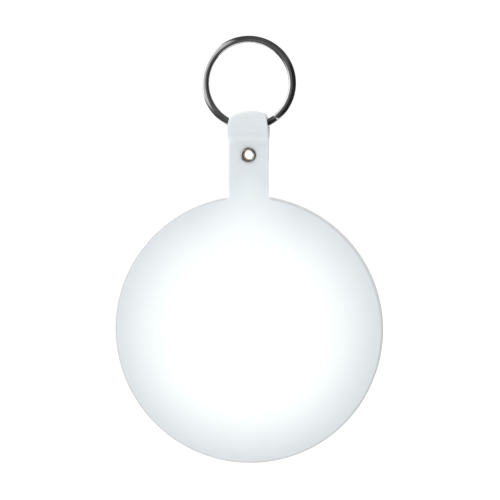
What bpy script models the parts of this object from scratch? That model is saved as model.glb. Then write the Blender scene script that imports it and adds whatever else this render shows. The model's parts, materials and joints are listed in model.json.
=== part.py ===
"""Soft round tracker tag on a split ring.

A soft white disc and its strap carry a sealed tracker core. The strap folds over a split ring
and is closed by an eyelet. The tag hangs from the inside top of its ring, which is the origin.
X runs across the tag, Y from its front to its back, and Z up.
"""
import math

import bmesh
import bpy
from mathutils import Matrix, Vector

MM = 0.001
GAP = 0.3 * MM             # room left between pieces that touch
SNUG = 0.1 * MM            # room left between pieces that are clamped or bonded
MERGE = 0.001 * MM
OVERRUN = 0.5 * MM         # how far a cutter passes the face that it cuts

# Split ring: two turns of flat wire.
RING_R = 11.0 * MM         # middle of the wire
WIRE_W = 1.8 * MM
WIRE_H = 0.85 * MM
COIL_GAP = 0.12 * MM
RING_START = math.radians(-52)
RING_JOG = math.radians(26)

# Soft disc and strap.
DISC_R = 33.95 * MM
RIM_W = 1.4 * MM
EDGE_R = 0.5 * MM
SKIN_T = 1.0 * MM
STRAP_W = 10.3 * MM
STRAP_T = 1.2 * MM
NECK_LEN = 4.95 * MM       # disc edge to the line where the strap bends
NECK_TO_EYELET = 5.3 * MM
CROWN_H = 2.65 * MM        # height over which the fold's corners round off
LOOP_CLEAR = 0.4 * MM
LOOP_FILLET = 2.2 * MM

# Eyelet.
EYELET_R = 1.5 * MM
EYELET_WALL = 0.3 * MM
FLANGE_W = 0.5 * MM        # flange outside the barrel
FLANGE_T = 0.35 * MM

# Core housing.
CORE_CHAMFER = 0.8 * MM
SHELL_T = 0.8 * MM
SHELL_SIDE = 1.0 * MM
PARTS_H = 1.8 * MM         # space for the parts on the front of the board
PCB_T = 0.8 * MM
SPRING_H = 0.6 * MM        # space for the contact under the cell
CELL_R = 10.0 * MM
CELL_H = 3.2 * MM
DOOR_T = 0.9 * MM
DOOR_RECESS = 0.3 * MM

# Battery door with bayonet lugs.
SKIRT_T = 0.8 * MM
LUG_OUT = 1.0 * MM
LUG_H = 0.7 * MM
LUG_ANGLE = math.radians(24)
NOTCH_ANGLE = math.radians(32)
DOOR_TWIST = math.radians(35)
SEAL_R = 0.3 * MM
LEDGE_T = 0.7 * MM
COLLAR_T = 1.0 * MM
COIN_SLOT = (13.0 * MM, 1.8 * MM, 0.45 * MM)

# Button under the middle of the soft front.
BUTTON_R = 4.0 * MM
BUTTON_LIP = 1.2 * MM
BUTTON_TRAVEL = 0.25 * MM
SWITCH_SIZE = (4.0 * MM, 3.0 * MM)
SWITCH_H = 0.7 * MM
PLUNGER_R = 0.75 * MM
PLUNGER_H = 0.4 * MM
WELL_H = 0.4 * MM

# Screws.
SCREW_COUNT = 3
SCREW_R = 0.8 * MM
HEAD_W = 0.6 * MM          # head outside the thread
HEAD_H = 0.5 * MM
DRIVE_W = 0.3 * MM         # cross recess in the head
DRIVE_DEPTH = 0.35 * MM
BOSS_TO_WALL = 0.4 * MM
SCREW_FIRST = math.radians(33)
SCREW_TIP = 0.5 * MM       # from the tip to the front wall

# Sounder.
PIEZO_R = 6.0 * MM
PIEZO_CERAMIC_R = 4.2 * MM
PIEZO_ANGLE = math.radians(-35.6)
PIEZO_TO_WALL = 0.8 * MM
FOAM_W = 0.9 * MM
FOAM_T = 0.25 * MM
BRASS_T = 0.2 * MM
CERAMIC_T = 0.2 * MM
SPRING_PIN_R = 0.5 * MM

# Levels through the thickness, from the soft front to the soft back.
HALF_T = (SKIN_T + GAP + SHELL_T + PARTS_H + PCB_T + SPRING_H + CELL_H + GAP + DOOR_T
          + DOOR_RECESS) / 2
Y_SKIN_FRONT = -HALF_T
Y_SHELL_FRONT = Y_SKIN_FRONT + SKIN_T + GAP
Y_SPACE_FRONT = Y_SHELL_FRONT + SHELL_T
Y_PCB_FRONT = Y_SPACE_FRONT + PARTS_H
Y_PCB_BACK = Y_PCB_FRONT + PCB_T
Y_CELL_FRONT = Y_PCB_BACK + SPRING_H
Y_CELL_BACK = Y_CELL_FRONT + CELL_H
Y_DOOR_INSIDE = Y_CELL_BACK + GAP
Y_DOOR_OUTSIDE = Y_DOOR_INSIDE + DOOR_T
Y_SKIN_BACK = Y_DOOR_OUTSIDE + DOOR_RECESS
Y_SHELL_BACK = Y_SKIN_BACK - SKIN_T - GAP
Y_SPACE_BACK = Y_SHELL_BACK - SHELL_T
Y_LEDGE_OUT = Y_SHELL_BACK - 2 * SEAL_R - SNUG
Y_LEDGE_IN = Y_LEDGE_OUT - LEDGE_T
Y_SKIRT_END = Y_LEDGE_IN - SNUG - LUG_H
Y_SPLIT = (Y_PCB_FRONT + Y_PCB_BACK) / 2

# Radii of the door, outwards from the cell.
SKIRT_IN_R = CELL_R + GAP
SKIRT_OUT_R = SKIRT_IN_R + SKIRT_T
OPENING_R = SKIRT_OUT_R + GAP
LUG_R = SKIRT_OUT_R + LUG_OUT
NOTCH_R = LUG_R + GAP
SEAL_MID_R = NOTCH_R + SEAL_R + 2 * SNUG
SEAL_STEP_R = SEAL_MID_R + SEAL_R + 2 * SNUG
DOOR_R = SEAL_STEP_R + 2 * SNUG
COLLAR_IN_R = DOOR_R + GAP
COLLAR_OUT_R = COLLAR_IN_R + COLLAR_T
BACK_OPENING_R = COLLAR_OUT_R + GAP

# Radii of the housing, outwards from the door's collar.
HEAD_R = SCREW_R + HEAD_W
BOSS_R = HEAD_R + GAP
SCREW_CIRCLE_R = COLLAR_OUT_R + GAP + BOSS_R
INSIDE_R = SCREW_CIRCLE_R + BOSS_R + BOSS_TO_WALL
CORE_R = INSIDE_R + SHELL_SIDE
PCB_R = INSIDE_R - BOSS_TO_WALL

# Strap: its front layer, its back layer and the loop round the wire.
FLANGE_R = EYELET_R + FLANGE_W
RIM_HALF = STRAP_T + GAP / 2
LAYER_MID = (STRAP_T + GAP) / 2
DOME_FLAT_R = CORE_R + GAP
RING_IN_R = RING_R - WIRE_W / 2
RING_HALF_T = WIRE_H + COIL_GAP / 2
WIRE_RISE = RING_R - math.sqrt(RING_IN_R ** 2 - (STRAP_W / 2) ** 2)
LOOP_R = math.hypot(WIRE_RISE, RING_HALF_T) + LOOP_CLEAR
LOOP_MID_R = LOOP_R + STRAP_T / 2
LOOP_DROP = math.sqrt((LOOP_MID_R + LOOP_FILLET) ** 2 - (LAYER_MID + LOOP_FILLET) ** 2)

# Heights above the disc's centre.
NECK_Z = DISC_R + NECK_LEN
EYELET_Z = NECK_Z + NECK_TO_EYELET
FILLET_Z = EYELET_Z + FLANGE_R + 2 * SNUG
WIRE_Z = FILLET_Z + LOOP_DROP

# Sides given to large, middling and small round pieces.
FINE = 48
MEDIUM = 36
COARSE = 16


def clear_scene():
    for old in list(bpy.data.objects):
        bpy.data.objects.remove(old, do_unlink=True)


def empty(name, z, parent=None):
    axis = bpy.data.objects.new(name, None)
    axis.empty_display_size = 5 * MM
    axis.location = (0, 0, z)
    axis.parent = parent
    bpy.context.scene.collection.objects.link(axis)
    return axis


def material(name, colour, roughness, metallic=0.0):
    made = bpy.data.materials.new(name)
    made.use_nodes = True
    shader = made.node_tree.nodes["Principled BSDF"]
    shader.inputs["Base Color"].default_value = (*colour, 1)
    shader.inputs["Roughness"].default_value = roughness
    shader.inputs["Metallic"].default_value = metallic
    return made


def finish(name, shape, parent, look=None):
    """Turn a bmesh into a named object; one without a look is a hidden tool for a Boolean."""
    bmesh.ops.recalc_face_normals(shape, faces=shape.faces)
    mesh = bpy.data.meshes.new(name)
    shape.to_mesh(mesh)
    shape.free()
    mesh.shade_smooth()
    mesh.set_sharp_from_angle(angle=math.radians(35))
    made = bpy.data.objects.new(name, mesh)
    made.parent = parent
    bpy.context.scene.collection.objects.link(made)
    if look:
        mesh.materials.append(material(name, *look))
    else:
        made.hide_render = True
        made.display_type = "WIRE"
    return made


def turned(name, outline, parent, look=None, centre=(0, 0, 0), steps=MEDIUM):
    """Spin an outline of (radius, y) points about an axis along Y through the centre."""
    shape = bmesh.new()
    points = [shape.verts.new((radius, y, 0)) for radius, y in outline]
    pairs = list(zip(points, points[1:]))
    if max(outline[0][0], outline[-1][0]) > 0:
        pairs.append((points[-1], points[0]))
    edges = [shape.edges.new(pair) for pair in pairs]
    bmesh.ops.spin(shape, geom=points + edges, axis=(0, 1, 0), cent=(0, 0, 0), angle=math.tau,
                   steps=steps, use_merge=True)
    bmesh.ops.remove_doubles(shape, verts=shape.verts, dist=MERGE)
    bmesh.ops.translate(shape, verts=shape.verts, vec=centre)
    return finish(name, shape, parent, look)


def rod(name, radius, low, high, parent, look=None, centre=(0, 0, 0), steps=COARSE):
    """A plain cylinder along Y."""
    shape = bmesh.new()
    bmesh.ops.create_cone(shape, cap_ends=True, segments=steps, radius1=radius, radius2=radius,
                          depth=high - low)
    bmesh.ops.rotate(shape, verts=shape.verts, matrix=Matrix.Rotation(math.pi / 2, 3, "X"))
    middle = Vector(centre) + Vector((0, (low + high) / 2, 0))
    bmesh.ops.translate(shape, verts=shape.verts, vec=middle)
    return finish(name, shape, parent, look)


def tube(name, inner, outer, low, high, parent, look=None, centre=(0, 0, 0), steps=MEDIUM):
    outline = [(inner, low), (outer, low), (outer, high), (inner, high)]
    return turned(name, outline, parent, look, centre, steps)


def extruded(name, outline, start, end, along, parent, look=None):
    """Extrude a flat outline: (y, z) points along X, or (x, z) points along Y."""
    place = {"X": lambda a, b: (start, a, b), "Y": lambda a, b: (a, start, b)}[along]
    push = {"X": Vector((end - start, 0, 0)), "Y": Vector((0, end - start, 0))}[along]
    shape = bmesh.new()
    face = shape.faces.new([shape.verts.new(place(a, b)) for a, b in outline])
    grown = bmesh.ops.extrude_face_region(shape, geom=[face])
    moved = [item for item in grown["geom"] if isinstance(item, bmesh.types.BMVert)]
    bmesh.ops.translate(shape, verts=moved, vec=push)
    return finish(name, shape, parent, look)


def block(name, size, middle, parent, look=None, spin=0.0):
    """A box of a given size, turned about Y through its own middle."""
    shape = bmesh.new()
    bmesh.ops.create_cube(shape, size=1)
    bmesh.ops.scale(shape, verts=shape.verts, vec=size)
    bmesh.ops.rotate(shape, verts=shape.verts, matrix=Matrix.Rotation(spin, 3, "Y"))
    bmesh.ops.translate(shape, verts=shape.verts, vec=middle)
    return finish(name, shape, parent, look)


def boolean(target, tool, operation):
    step = target.modifiers.new(tool.name, "BOOLEAN")
    step.operation = operation
    step.object = tool
    step.solver = "EXACT"


def arc(centre, radius, start, end, steps):
    """Points on an arc, angles measured from the first axis towards the second."""
    turn = (end - start) / steps
    return [(centre[0] + radius * math.cos(start + turn * i),
             centre[1] + radius * math.sin(start + turn * i)) for i in range(steps + 1)]


def sector(inner, outer, middle, width, steps=6):
    """Outline in the disc's plane of a piece of a ring."""
    out = arc((0, 0), outer, middle - width / 2, middle + width / 2, steps)
    back = arc((0, 0), inner, middle + width / 2, middle - width / 2, steps)
    return out + back


def around(angle, radius):
    return Vector((radius * math.cos(angle), 0, radius * math.sin(angle)))


def screw_centres():
    return [around(SCREW_FIRST + math.tau * i / SCREW_COUNT, SCREW_CIRCLE_R)
            for i in range(SCREW_COUNT)]


def lug_angles():
    return [math.radians(90) + math.tau * i / 3 for i in range(3)]


def dome(high, low, flat_r, foot_r, steps):
    """A soft shoulder: flat in the middle and falling ever faster towards the rim."""
    shares = [i / steps for i in range(steps + 1)]
    return [(flat_r + (foot_r - flat_r) * share, high - (high - low) * share ** 2)
            for share in shares]


def skin_outline(side, hole_r):
    """Section of one soft half: side is -1 for the front and 1 for the back."""
    outer = dome(HALF_T, RIM_HALF, DOME_FLAT_R, DISC_R - EDGE_R, 6)
    edge = arc((DISC_R - EDGE_R, RIM_HALF - EDGE_R), EDGE_R, math.pi / 3, 0, 3)
    inner = dome(HALF_T - SKIN_T, GAP / 2, DOME_FLAT_R, DISC_R - RIM_W, 4)
    mating = [(DISC_R, GAP / 2)]
    section = [(hole_r, HALF_T)] + outer + edge + mating + inner[::-1] + [(hole_r, HALF_T - SKIN_T)]
    return [(radius, side * y) for radius, y in section]


def make_split_ring(parent):
    half_w = WIRE_W / 2
    half_h = WIRE_H / 2
    cut = 0.2 * MM
    section = [(half_w, half_h - cut), (half_w - cut, half_h), (cut - half_w, half_h),
               (-half_w, half_h - cut), (-half_w, cut - half_h), (cut - half_w, -half_h),
               (half_w - cut, -half_h), (half_w, cut - half_h)]
    layer = (WIRE_H + COIL_GAP) / 2
    jog_start = math.tau - RING_JOG
    length = 2 * math.tau - RING_JOG - math.radians(3)
    stations = 2 * MEDIUM
    shape = bmesh.new()
    rows = []
    for i in range(stations + 1):
        run = length * i / stations
        share = min(max((run - jog_start) / RING_JOG, 0), 1)
        y = -layer * math.cos(math.pi * share)
        angle = RING_START + run
        rows.append([shape.verts.new((math.cos(angle) * (RING_R + across), y + along,
                                      math.sin(angle) * (RING_R + across)))
                     for across, along in section])
    for row, following in zip(rows, rows[1:]):
        for k in range(len(section)):
            after = (k + 1) % len(section)
            shape.faces.new((row[k], row[after], following[after], following[k]))
    shape.faces.new(rows[0])
    shape.faces.new(rows[-1])
    finish("split_ring", shape, parent, ((0.62, 0.63, 0.65), 0.18, 1.0))


def loop_side(offset):
    """One face of the folded strap, from its front foot over the wire to its back foot."""
    line = LAYER_MID + offset
    round_r = LOOP_MID_R + offset
    bend_r = LOOP_FILLET - offset
    lean = math.asin((LAYER_MID + LOOP_FILLET) / (LOOP_MID_R + LOOP_FILLET))
    centre_y = LAYER_MID + LOOP_FILLET
    foot = STRAP_T / 2 + GAP + NECK_Z - WIRE_Z
    tail = EYELET_Z - FLANGE_R - 2 * GAP - WIRE_Z
    bend = arc((centre_y, -LOOP_DROP), bend_r, math.pi, math.pi / 2 + lean, 4)
    half = math.pi / 2 + math.pi / 2 - lean
    rounding = [(round_r * math.sin(a), round_r * math.cos(a))
                for a in (half - 2 * half * i / 24 for i in range(25))]
    front = [(-line, foot)] + [(-y, z) for y, z in bend] + [(-y, z) for y, z in rounding[1:-1]]
    back = bend[::-1] + [(line, tail)]
    return front + back


def make_strap_loop(parent):
    outline = loop_side(STRAP_T / 2) + loop_side(-STRAP_T / 2)[::-1]
    half_w = STRAP_W / 2
    look = ((0.78, 0.80, 0.81), 0.45)
    strap = extruded("strap_loop", outline, -half_w, half_w, "X", parent, look)
    top = LOOP_R + STRAP_T
    spring = top - CROWN_H
    crown = [(half_w * x, spring + CROWN_H * z) for x, z in arc((0, 0), 1, 0, math.pi, 16)]
    foot = NECK_Z - WIRE_Z - OVERRUN
    side = half_w
    shape = [(side, foot)] + crown + [(-side, foot)]
    depth = LOOP_R + STRAP_T + OVERRUN
    boolean(strap, extruded("strap_outline", shape, -depth, depth, "Y", parent), "INTERSECT")
    hole = rod("strap_hole", EYELET_R + SNUG, -depth, depth, parent,
               centre=(0, 0, EYELET_Z - WIRE_Z), steps=COARSE)
    boolean(strap, hole, "DIFFERENCE")


def make_eyelet(parent):
    centre = (0, 0, EYELET_Z - WIRE_Z)
    face = RIM_HALF + SNUG
    bore = EYELET_R - EYELET_WALL
    lip = face + FLANGE_T
    rolled = arc((FLANGE_R - FLANGE_T / 2, -face - FLANGE_T / 2), FLANGE_T / 2,
                 math.pi / 2, -math.pi / 2, 3)
    end = face + 2 * FLANGE_T
    outline = [(bore, end), (bore, -lip + FLANGE_T / 2), (bore + FLANGE_T / 2, -lip)]
    outline += rolled[::-1] + [(EYELET_R, -face), (EYELET_R, end)]
    turned("eyelet", outline, parent, ((0.55, 0.54, 0.52), 0.25, 1.0), centre, 28)
    inner = EYELET_R + SNUG
    washer = [(inner, face), (FLANGE_R, face), (FLANGE_R + 0.1 * MM, face + FLANGE_T / 2),
              (FLANGE_R, lip), (inner, lip)]
    turned("eyelet_washer", washer, parent, ((0.60, 0.46, 0.24), 0.3, 1.0), centre, 28)


def make_front_skin(parent):
    look = ((0.79, 0.81, 0.82), 0.45)
    outline = skin_outline(-1, 0)
    skin = turned("front_skin", outline, parent, look, steps=FINE)
    tip = arc((-LAYER_MID, NECK_Z), STRAP_T / 2, 0, math.pi, 8)
    root = DISC_R - RIM_W
    half_w = STRAP_W / 2
    inside = -LAYER_MID + STRAP_T / 2
    outside = -LAYER_MID - STRAP_T / 2
    neck_outline = [(inside, root)] + tip + [(outside, root)]
    neck = extruded("neck", neck_outline, -half_w, half_w, "X", parent)
    boolean(skin, neck, "UNION")


def make_back_skin(parent):
    outline = skin_outline(1, BACK_OPENING_R)
    turned("back_skin", outline, parent, ((0.79, 0.81, 0.82), 0.45), steps=FINE)


def make_core_front_shell(parent):
    hole_r = BUTTON_R + GAP
    edge = Y_SPLIT - GAP / 2
    outline = [(hole_r, Y_SHELL_FRONT), (CORE_R - CORE_CHAMFER, Y_SHELL_FRONT),
               (CORE_R, Y_SHELL_FRONT + CORE_CHAMFER), (CORE_R, edge), (INSIDE_R, edge),
               (INSIDE_R, Y_SPACE_FRONT), (hole_r, Y_SPACE_FRONT)]
    shell = turned("core_front_shell", outline, parent, ((0.85, 0.85, 0.84), 0.5))
    floor = Y_SPACE_FRONT - SHELL_T / 2
    top = Y_PCB_FRONT - SNUG
    for i, centre in enumerate(screw_centres(), 1):
        boolean(shell, rod(f"boss_{i}", BOSS_R, floor, top, parent, centre=centre), "UNION")
    for i, centre in enumerate(screw_centres(), 1):
        bore = rod(f"boss_bore_{i}", SCREW_R + SNUG, Y_SPACE_FRONT + GAP, top + OVERRUN, parent,
                   centre=centre, steps=COARSE - 2)
        boolean(shell, bore, "DIFFERENCE")


def make_core_back_shell(parent):
    edge = Y_SPLIT + GAP / 2
    outline = [(OPENING_R, Y_LEDGE_IN), (OPENING_R, Y_LEDGE_OUT), (SEAL_STEP_R, Y_LEDGE_OUT),
               (SEAL_STEP_R, Y_SHELL_BACK), (COLLAR_IN_R, Y_SHELL_BACK),
               (COLLAR_IN_R, Y_DOOR_OUTSIDE), (COLLAR_OUT_R, Y_DOOR_OUTSIDE),
               (COLLAR_OUT_R, Y_SHELL_BACK), (CORE_R - CORE_CHAMFER, Y_SHELL_BACK),
               (CORE_R, Y_SHELL_BACK - CORE_CHAMFER), (CORE_R, edge), (INSIDE_R, edge),
               (INSIDE_R, Y_SPACE_BACK), (COLLAR_OUT_R, Y_SPACE_BACK), (COLLAR_OUT_R, Y_LEDGE_IN)]
    shell = turned("core_back_shell", outline, parent, ((0.85, 0.85, 0.84), 0.5))
    foot = Y_PCB_BACK + SNUG
    seat = Y_SHELL_BACK - HEAD_H - 2 * SNUG
    for i, centre in enumerate(screw_centres(), 1):
        post = rod(f"post_{i}", BOSS_R, foot, Y_SHELL_BACK - SHELL_T / 2, parent, centre=centre)
        boolean(shell, post, "UNION")
    bore_r = SCREW_R + GAP
    sink_r = HEAD_R + 2 * SNUG
    above = Y_SHELL_BACK + OVERRUN
    stepped = [(0, foot - OVERRUN), (bore_r, foot - OVERRUN), (bore_r, seat), (sink_r, seat),
               (sink_r, above), (0, above)]
    for i, centre in enumerate(screw_centres(), 1):
        bore = turned(f"post_bore_{i}", stepped, parent, centre=centre, steps=COARSE - 2)
        boolean(shell, bore, "DIFFERENCE")
    for i, angle in enumerate(lug_angles(), 1):
        notch = sector(OPENING_R - OVERRUN, NOTCH_R, angle - DOOR_TWIST, NOTCH_ANGLE)
        tool = extruded(f"notch_{i}", notch, Y_LEDGE_IN - OVERRUN, Y_LEDGE_OUT + OVERRUN, "Y",
                        parent)
        boolean(shell, tool, "DIFFERENCE")


def make_battery_door(parent):
    outline = [(0, Y_DOOR_OUTSIDE), (DOOR_R, Y_DOOR_OUTSIDE), (DOOR_R, Y_DOOR_INSIDE),
               (SKIRT_OUT_R, Y_DOOR_INSIDE), (SKIRT_OUT_R, Y_SKIRT_END), (SKIRT_IN_R, Y_SKIRT_END),
               (SKIRT_IN_R, Y_DOOR_INSIDE), (0, Y_DOOR_INSIDE)]
    door = turned("battery_door", outline, parent, ((0.86, 0.86, 0.85), 0.4))
    for i, angle in enumerate(lug_angles(), 1):
        lug = sector(SKIRT_OUT_R - SKIRT_T / 2, LUG_R, angle, LUG_ANGLE)
        tool = extruded(f"lug_{i}", lug, Y_SKIRT_END, Y_SKIRT_END + LUG_H, "Y", parent)
        boolean(door, tool, "UNION")
    length, width, depth = COIN_SLOT
    slot = block("coin_slot", (length, 2 * depth, width), (0, Y_DOOR_OUTSIDE, 0), parent)
    boolean(door, slot, "DIFFERENCE")


def make_door_seal(parent):
    outline = arc((SEAL_MID_R, Y_LEDGE_OUT + SEAL_R + SNUG), SEAL_R, 0, math.tau, 6)[:-1]
    turned("door_seal", outline, parent, ((0.03, 0.03, 0.035), 0.6))


def make_cell(parent):
    wall = 0.3 * MM
    rim = Y_CELL_FRONT + 2 * SNUG
    can = [(0, Y_CELL_BACK), (CELL_R, Y_CELL_BACK), (CELL_R, rim), (CELL_R - wall, rim),
           (CELL_R - wall, Y_CELL_BACK - wall), (0, Y_CELL_BACK - wall)]
    turned("cell_can", can, parent, ((0.70, 0.70, 0.70), 0.3, 1.0))
    seal_out = CELL_R - wall - SNUG
    seal_in = seal_out - wall
    top = Y_CELL_BACK - wall - SNUG
    tube("cell_seal", seal_in, seal_out, rim, top, parent, ((0.08, 0.08, 0.09), 0.6))
    rod("cell_cap", seal_in - SNUG, Y_CELL_FRONT, top, parent, ((0.72, 0.71, 0.69), 0.3, 1.0),
        steps=MEDIUM)


def make_pcb(parent):
    board = rod("pcb", PCB_R, Y_PCB_FRONT, Y_PCB_BACK, parent, ((0.03, 0.16, 0.08), 0.45),
                steps=MEDIUM)
    for i, centre in enumerate(screw_centres(), 1):
        hole = rod(f"pcb_hole_{i}", SCREW_R + GAP, Y_PCB_FRONT - OVERRUN, Y_PCB_BACK + OVERRUN,
                   parent, centre=centre)
        boolean(board, hole, "DIFFERENCE")


def front_part(name, size, height, x, z, look, parent, spin=0.0):
    """A part soldered to the front of the board."""
    middle = (x, Y_PCB_FRONT - SNUG - height / 2, z)
    return block(name, (size[0], height, size[1]), middle, parent, look, spin)


def make_board_parts(parent):
    can_size = 7.4 * MM
    can_wall = 0.2 * MM
    can_x = -10.2 * MM
    can_z = -2.0 * MM
    steel = ((0.66, 0.66, 0.67), 0.3, 1.0)
    black = ((0.02, 0.02, 0.022), 0.4)
    can = front_part("shield_can", (can_size, can_size), 1.2 * MM, can_x, can_z, steel, parent)
    room = can_size - 2 * can_wall
    inside = 2 * (1.2 * MM - can_wall)
    tool = block("can_inside", (room, inside, room), (can_x, Y_PCB_FRONT - SNUG, can_z), parent)
    boolean(can, tool, "DIFFERENCE")
    front_part("radio_chip", (5 * MM, 5 * MM), 0.7 * MM, can_x, can_z, black, parent)
    gold = ((0.75, 0.62, 0.35), 0.35, 1.0)
    front_part("crystal", (2.5 * MM, 2 * MM), 0.6 * MM, -8.5 * MM, -9.6 * MM, gold, parent)
    white = ((0.80, 0.80, 0.77), 0.5)
    front_part("chip_antenna", (7 * MM, 2 * MM), 1.0 * MM, -5.8 * MM, 14.2 * MM, white, parent,
               spin=math.radians(-22))
    clear = ((0.85, 0.85, 0.70), 0.2)
    front_part("led", (1.6 * MM, 0.9 * MM), 0.6 * MM, 2 * MM, 8.2 * MM, clear, parent)


def make_switch(board, button):
    base = front_part("switch_base", SWITCH_SIZE, SWITCH_H, 0, 0, ((0.04, 0.04, 0.045), 0.5), board)
    top = Y_PCB_FRONT - SNUG - SWITCH_H
    well = rod("switch_well", PLUNGER_R + 2 * SNUG, top - OVERRUN, top + WELL_H, board)
    boolean(base, well, "DIFFERENCE")
    rest = top + WELL_H - SNUG - BUTTON_TRAVEL
    tip = rest - PLUNGER_H
    rod("switch_plunger", PLUNGER_R, tip, rest, button, ((0.80, 0.80, 0.78), 0.4))
    lip_top = Y_SPACE_FRONT + GAP
    lip = GAP
    roof = Y_SHELL_FRONT + SHELL_T * 0.75
    outline = [(0, Y_SHELL_FRONT), (BUTTON_R, Y_SHELL_FRONT), (BUTTON_R, lip_top),
               (BUTTON_R + BUTTON_LIP, lip_top), (BUTTON_R + BUTTON_LIP, lip_top + lip),
               (BUTTON_R - BUTTON_LIP / 2, lip_top + lip), (BUTTON_R - BUTTON_LIP / 2, roof),
               (PLUNGER_R + SNUG, roof), (PLUNGER_R + SNUG, tip - SNUG), (0, tip - SNUG)]
    turned("button_cap", outline, button, ((0.83, 0.83, 0.82), 0.45))


def make_sounder(parent):
    centre = around(PIEZO_ANGLE, INSIDE_R - PIEZO_TO_WALL - PIEZO_R)
    foam_front = Y_SPACE_FRONT + SNUG / 2
    brass_front = foam_front + FOAM_T + SNUG
    ceramic_front = brass_front + BRASS_T + SNUG / 2
    tube("piezo_foam", PIEZO_R - FOAM_W, PIEZO_R, foam_front, foam_front + FOAM_T, parent,
         ((0.06, 0.06, 0.06), 0.9), centre, 32)
    rod("piezo_brass", PIEZO_R, brass_front, brass_front + BRASS_T, parent,
        ((0.72, 0.52, 0.22), 0.3, 1.0), centre, 32)
    rod("piezo_ceramic", PIEZO_CERAMIC_R, ceramic_front, ceramic_front + CERAMIC_T, parent,
        ((0.82, 0.80, 0.74), 0.5), centre, 32)
    gold = ((0.78, 0.62, 0.30), 0.3, 1.0)
    foot = Y_PCB_FRONT - SNUG
    edge = (PIEZO_R + PIEZO_CERAMIC_R) / 2
    rod("piezo_spring_1", SPRING_PIN_R, ceramic_front + CERAMIC_T + SNUG, foot, parent, gold,
        centre, 12)
    rod("piezo_spring_2", SPRING_PIN_R, brass_front + BRASS_T + SNUG, foot, parent, gold,
        centre - Vector((edge, 0, 0)), 12)


def make_contacts(parent):
    metal = ((0.75, 0.74, 0.72), 0.3, 1.0)
    leaf = 0.2 * MM
    low = Y_PCB_BACK + SNUG
    side = CELL_R + SNUG
    reach = Y_SKIRT_END - GAP
    foot = 2.4 * MM
    half = 2.0 * MM
    outline = [(low, side), (reach, side), (reach, side + leaf), (low + leaf, side + leaf),
               (low + leaf, side + foot), (low, side + foot)]
    extruded("positive_contact", outline, -half, half, "X", parent, metal)
    touch = Y_CELL_FRONT - SNUG
    tongue = 3.4 * MM
    bend = 1.2 * MM
    bent = [(low, -tongue), (low, tongue), (low + leaf, tongue), (low + leaf, bend),
            (touch, -bend), (touch - leaf, -bend), (low + leaf, bend - 3 * leaf),
            (low + leaf, -tongue)]
    extruded("negative_contact", bent, -half, half, "X", parent, metal)


def make_screws(parent):
    top = Y_SHELL_BACK - SNUG / 2
    under = top - HEAD_H
    tip = Y_SPACE_FRONT + SCREW_TIP
    slot = (1.5 * HEAD_R, DRIVE_W, DRIVE_DEPTH)
    for i, centre in enumerate(screw_centres(), 1):
        outline = [(0, top), (HEAD_R, top), (HEAD_R, under), (SCREW_R, under),
                   (SCREW_R, tip + SCREW_R / 2), (SCREW_R / 2, tip), (0, tip)]
        screw = turned(f"core_screw_{i}", outline, parent, ((0.60, 0.60, 0.61), 0.3, 1.0), centre,
                       COARSE)
        for turn in (0.0, math.pi / 2):
            tool = block(f"drive_{i}_{turn:.0f}", (slot[0], 2 * slot[1], slot[2]),
                         (centre.x, top, centre.z), parent, spin=turn)
            boolean(screw, tool, "DIFFERENCE")


clear_scene()
ring_centre = empty("ring_centre", -RING_IN_R)
loop_axis = empty("loop_axis", -RING_R, ring_centre)
neck_axis = empty("neck_axis", NECK_Z - WIRE_Z, loop_axis)
disc_centre = empty("disc_centre", -NECK_Z, neck_axis)
door_axis = empty("door_axis", 0, disc_centre)
button_axis = empty("button_axis", 0, disc_centre)

make_split_ring(ring_centre)
make_strap_loop(loop_axis)
make_eyelet(loop_axis)
make_front_skin(disc_centre)
make_back_skin(disc_centre)
tube("skin_tape", BUTTON_R * 2, CORE_R - 2 * SHELL_SIDE, Y_SHELL_FRONT - 2 * SNUG,
     Y_SHELL_FRONT - SNUG, disc_centre, ((0.75, 0.73, 0.66), 0.7))
make_core_front_shell(disc_centre)
make_core_back_shell(disc_centre)
make_pcb(disc_centre)
make_board_parts(disc_centre)
make_switch(disc_centre, button_axis)
make_sounder(disc_centre)
make_contacts(disc_centre)
make_cell(disc_centre)
make_door_seal(disc_centre)
make_battery_door(door_axis)
make_screws(disc_centre)
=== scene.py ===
import json
import math

import bmesh
import bpy
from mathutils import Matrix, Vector

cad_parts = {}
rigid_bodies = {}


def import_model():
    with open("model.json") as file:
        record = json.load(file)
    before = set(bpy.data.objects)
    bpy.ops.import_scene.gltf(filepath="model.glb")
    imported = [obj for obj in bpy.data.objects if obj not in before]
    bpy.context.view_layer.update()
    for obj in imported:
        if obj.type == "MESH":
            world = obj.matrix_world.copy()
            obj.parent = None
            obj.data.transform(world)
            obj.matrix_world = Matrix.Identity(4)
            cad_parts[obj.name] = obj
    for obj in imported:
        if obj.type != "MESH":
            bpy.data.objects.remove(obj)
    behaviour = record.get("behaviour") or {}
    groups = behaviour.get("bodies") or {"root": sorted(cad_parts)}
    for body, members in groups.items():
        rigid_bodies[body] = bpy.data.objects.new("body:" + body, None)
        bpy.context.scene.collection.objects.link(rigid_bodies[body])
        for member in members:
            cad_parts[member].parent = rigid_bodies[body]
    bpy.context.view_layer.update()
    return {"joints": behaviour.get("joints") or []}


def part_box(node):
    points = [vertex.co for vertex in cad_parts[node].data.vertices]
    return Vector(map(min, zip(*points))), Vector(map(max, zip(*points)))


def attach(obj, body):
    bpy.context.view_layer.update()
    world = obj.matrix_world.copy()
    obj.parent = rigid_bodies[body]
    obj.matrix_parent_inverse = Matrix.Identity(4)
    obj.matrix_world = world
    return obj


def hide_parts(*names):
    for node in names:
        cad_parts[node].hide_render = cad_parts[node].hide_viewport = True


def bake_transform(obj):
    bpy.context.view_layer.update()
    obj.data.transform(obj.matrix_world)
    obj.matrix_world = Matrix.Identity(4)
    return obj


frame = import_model()

MM = 0.001


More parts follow.
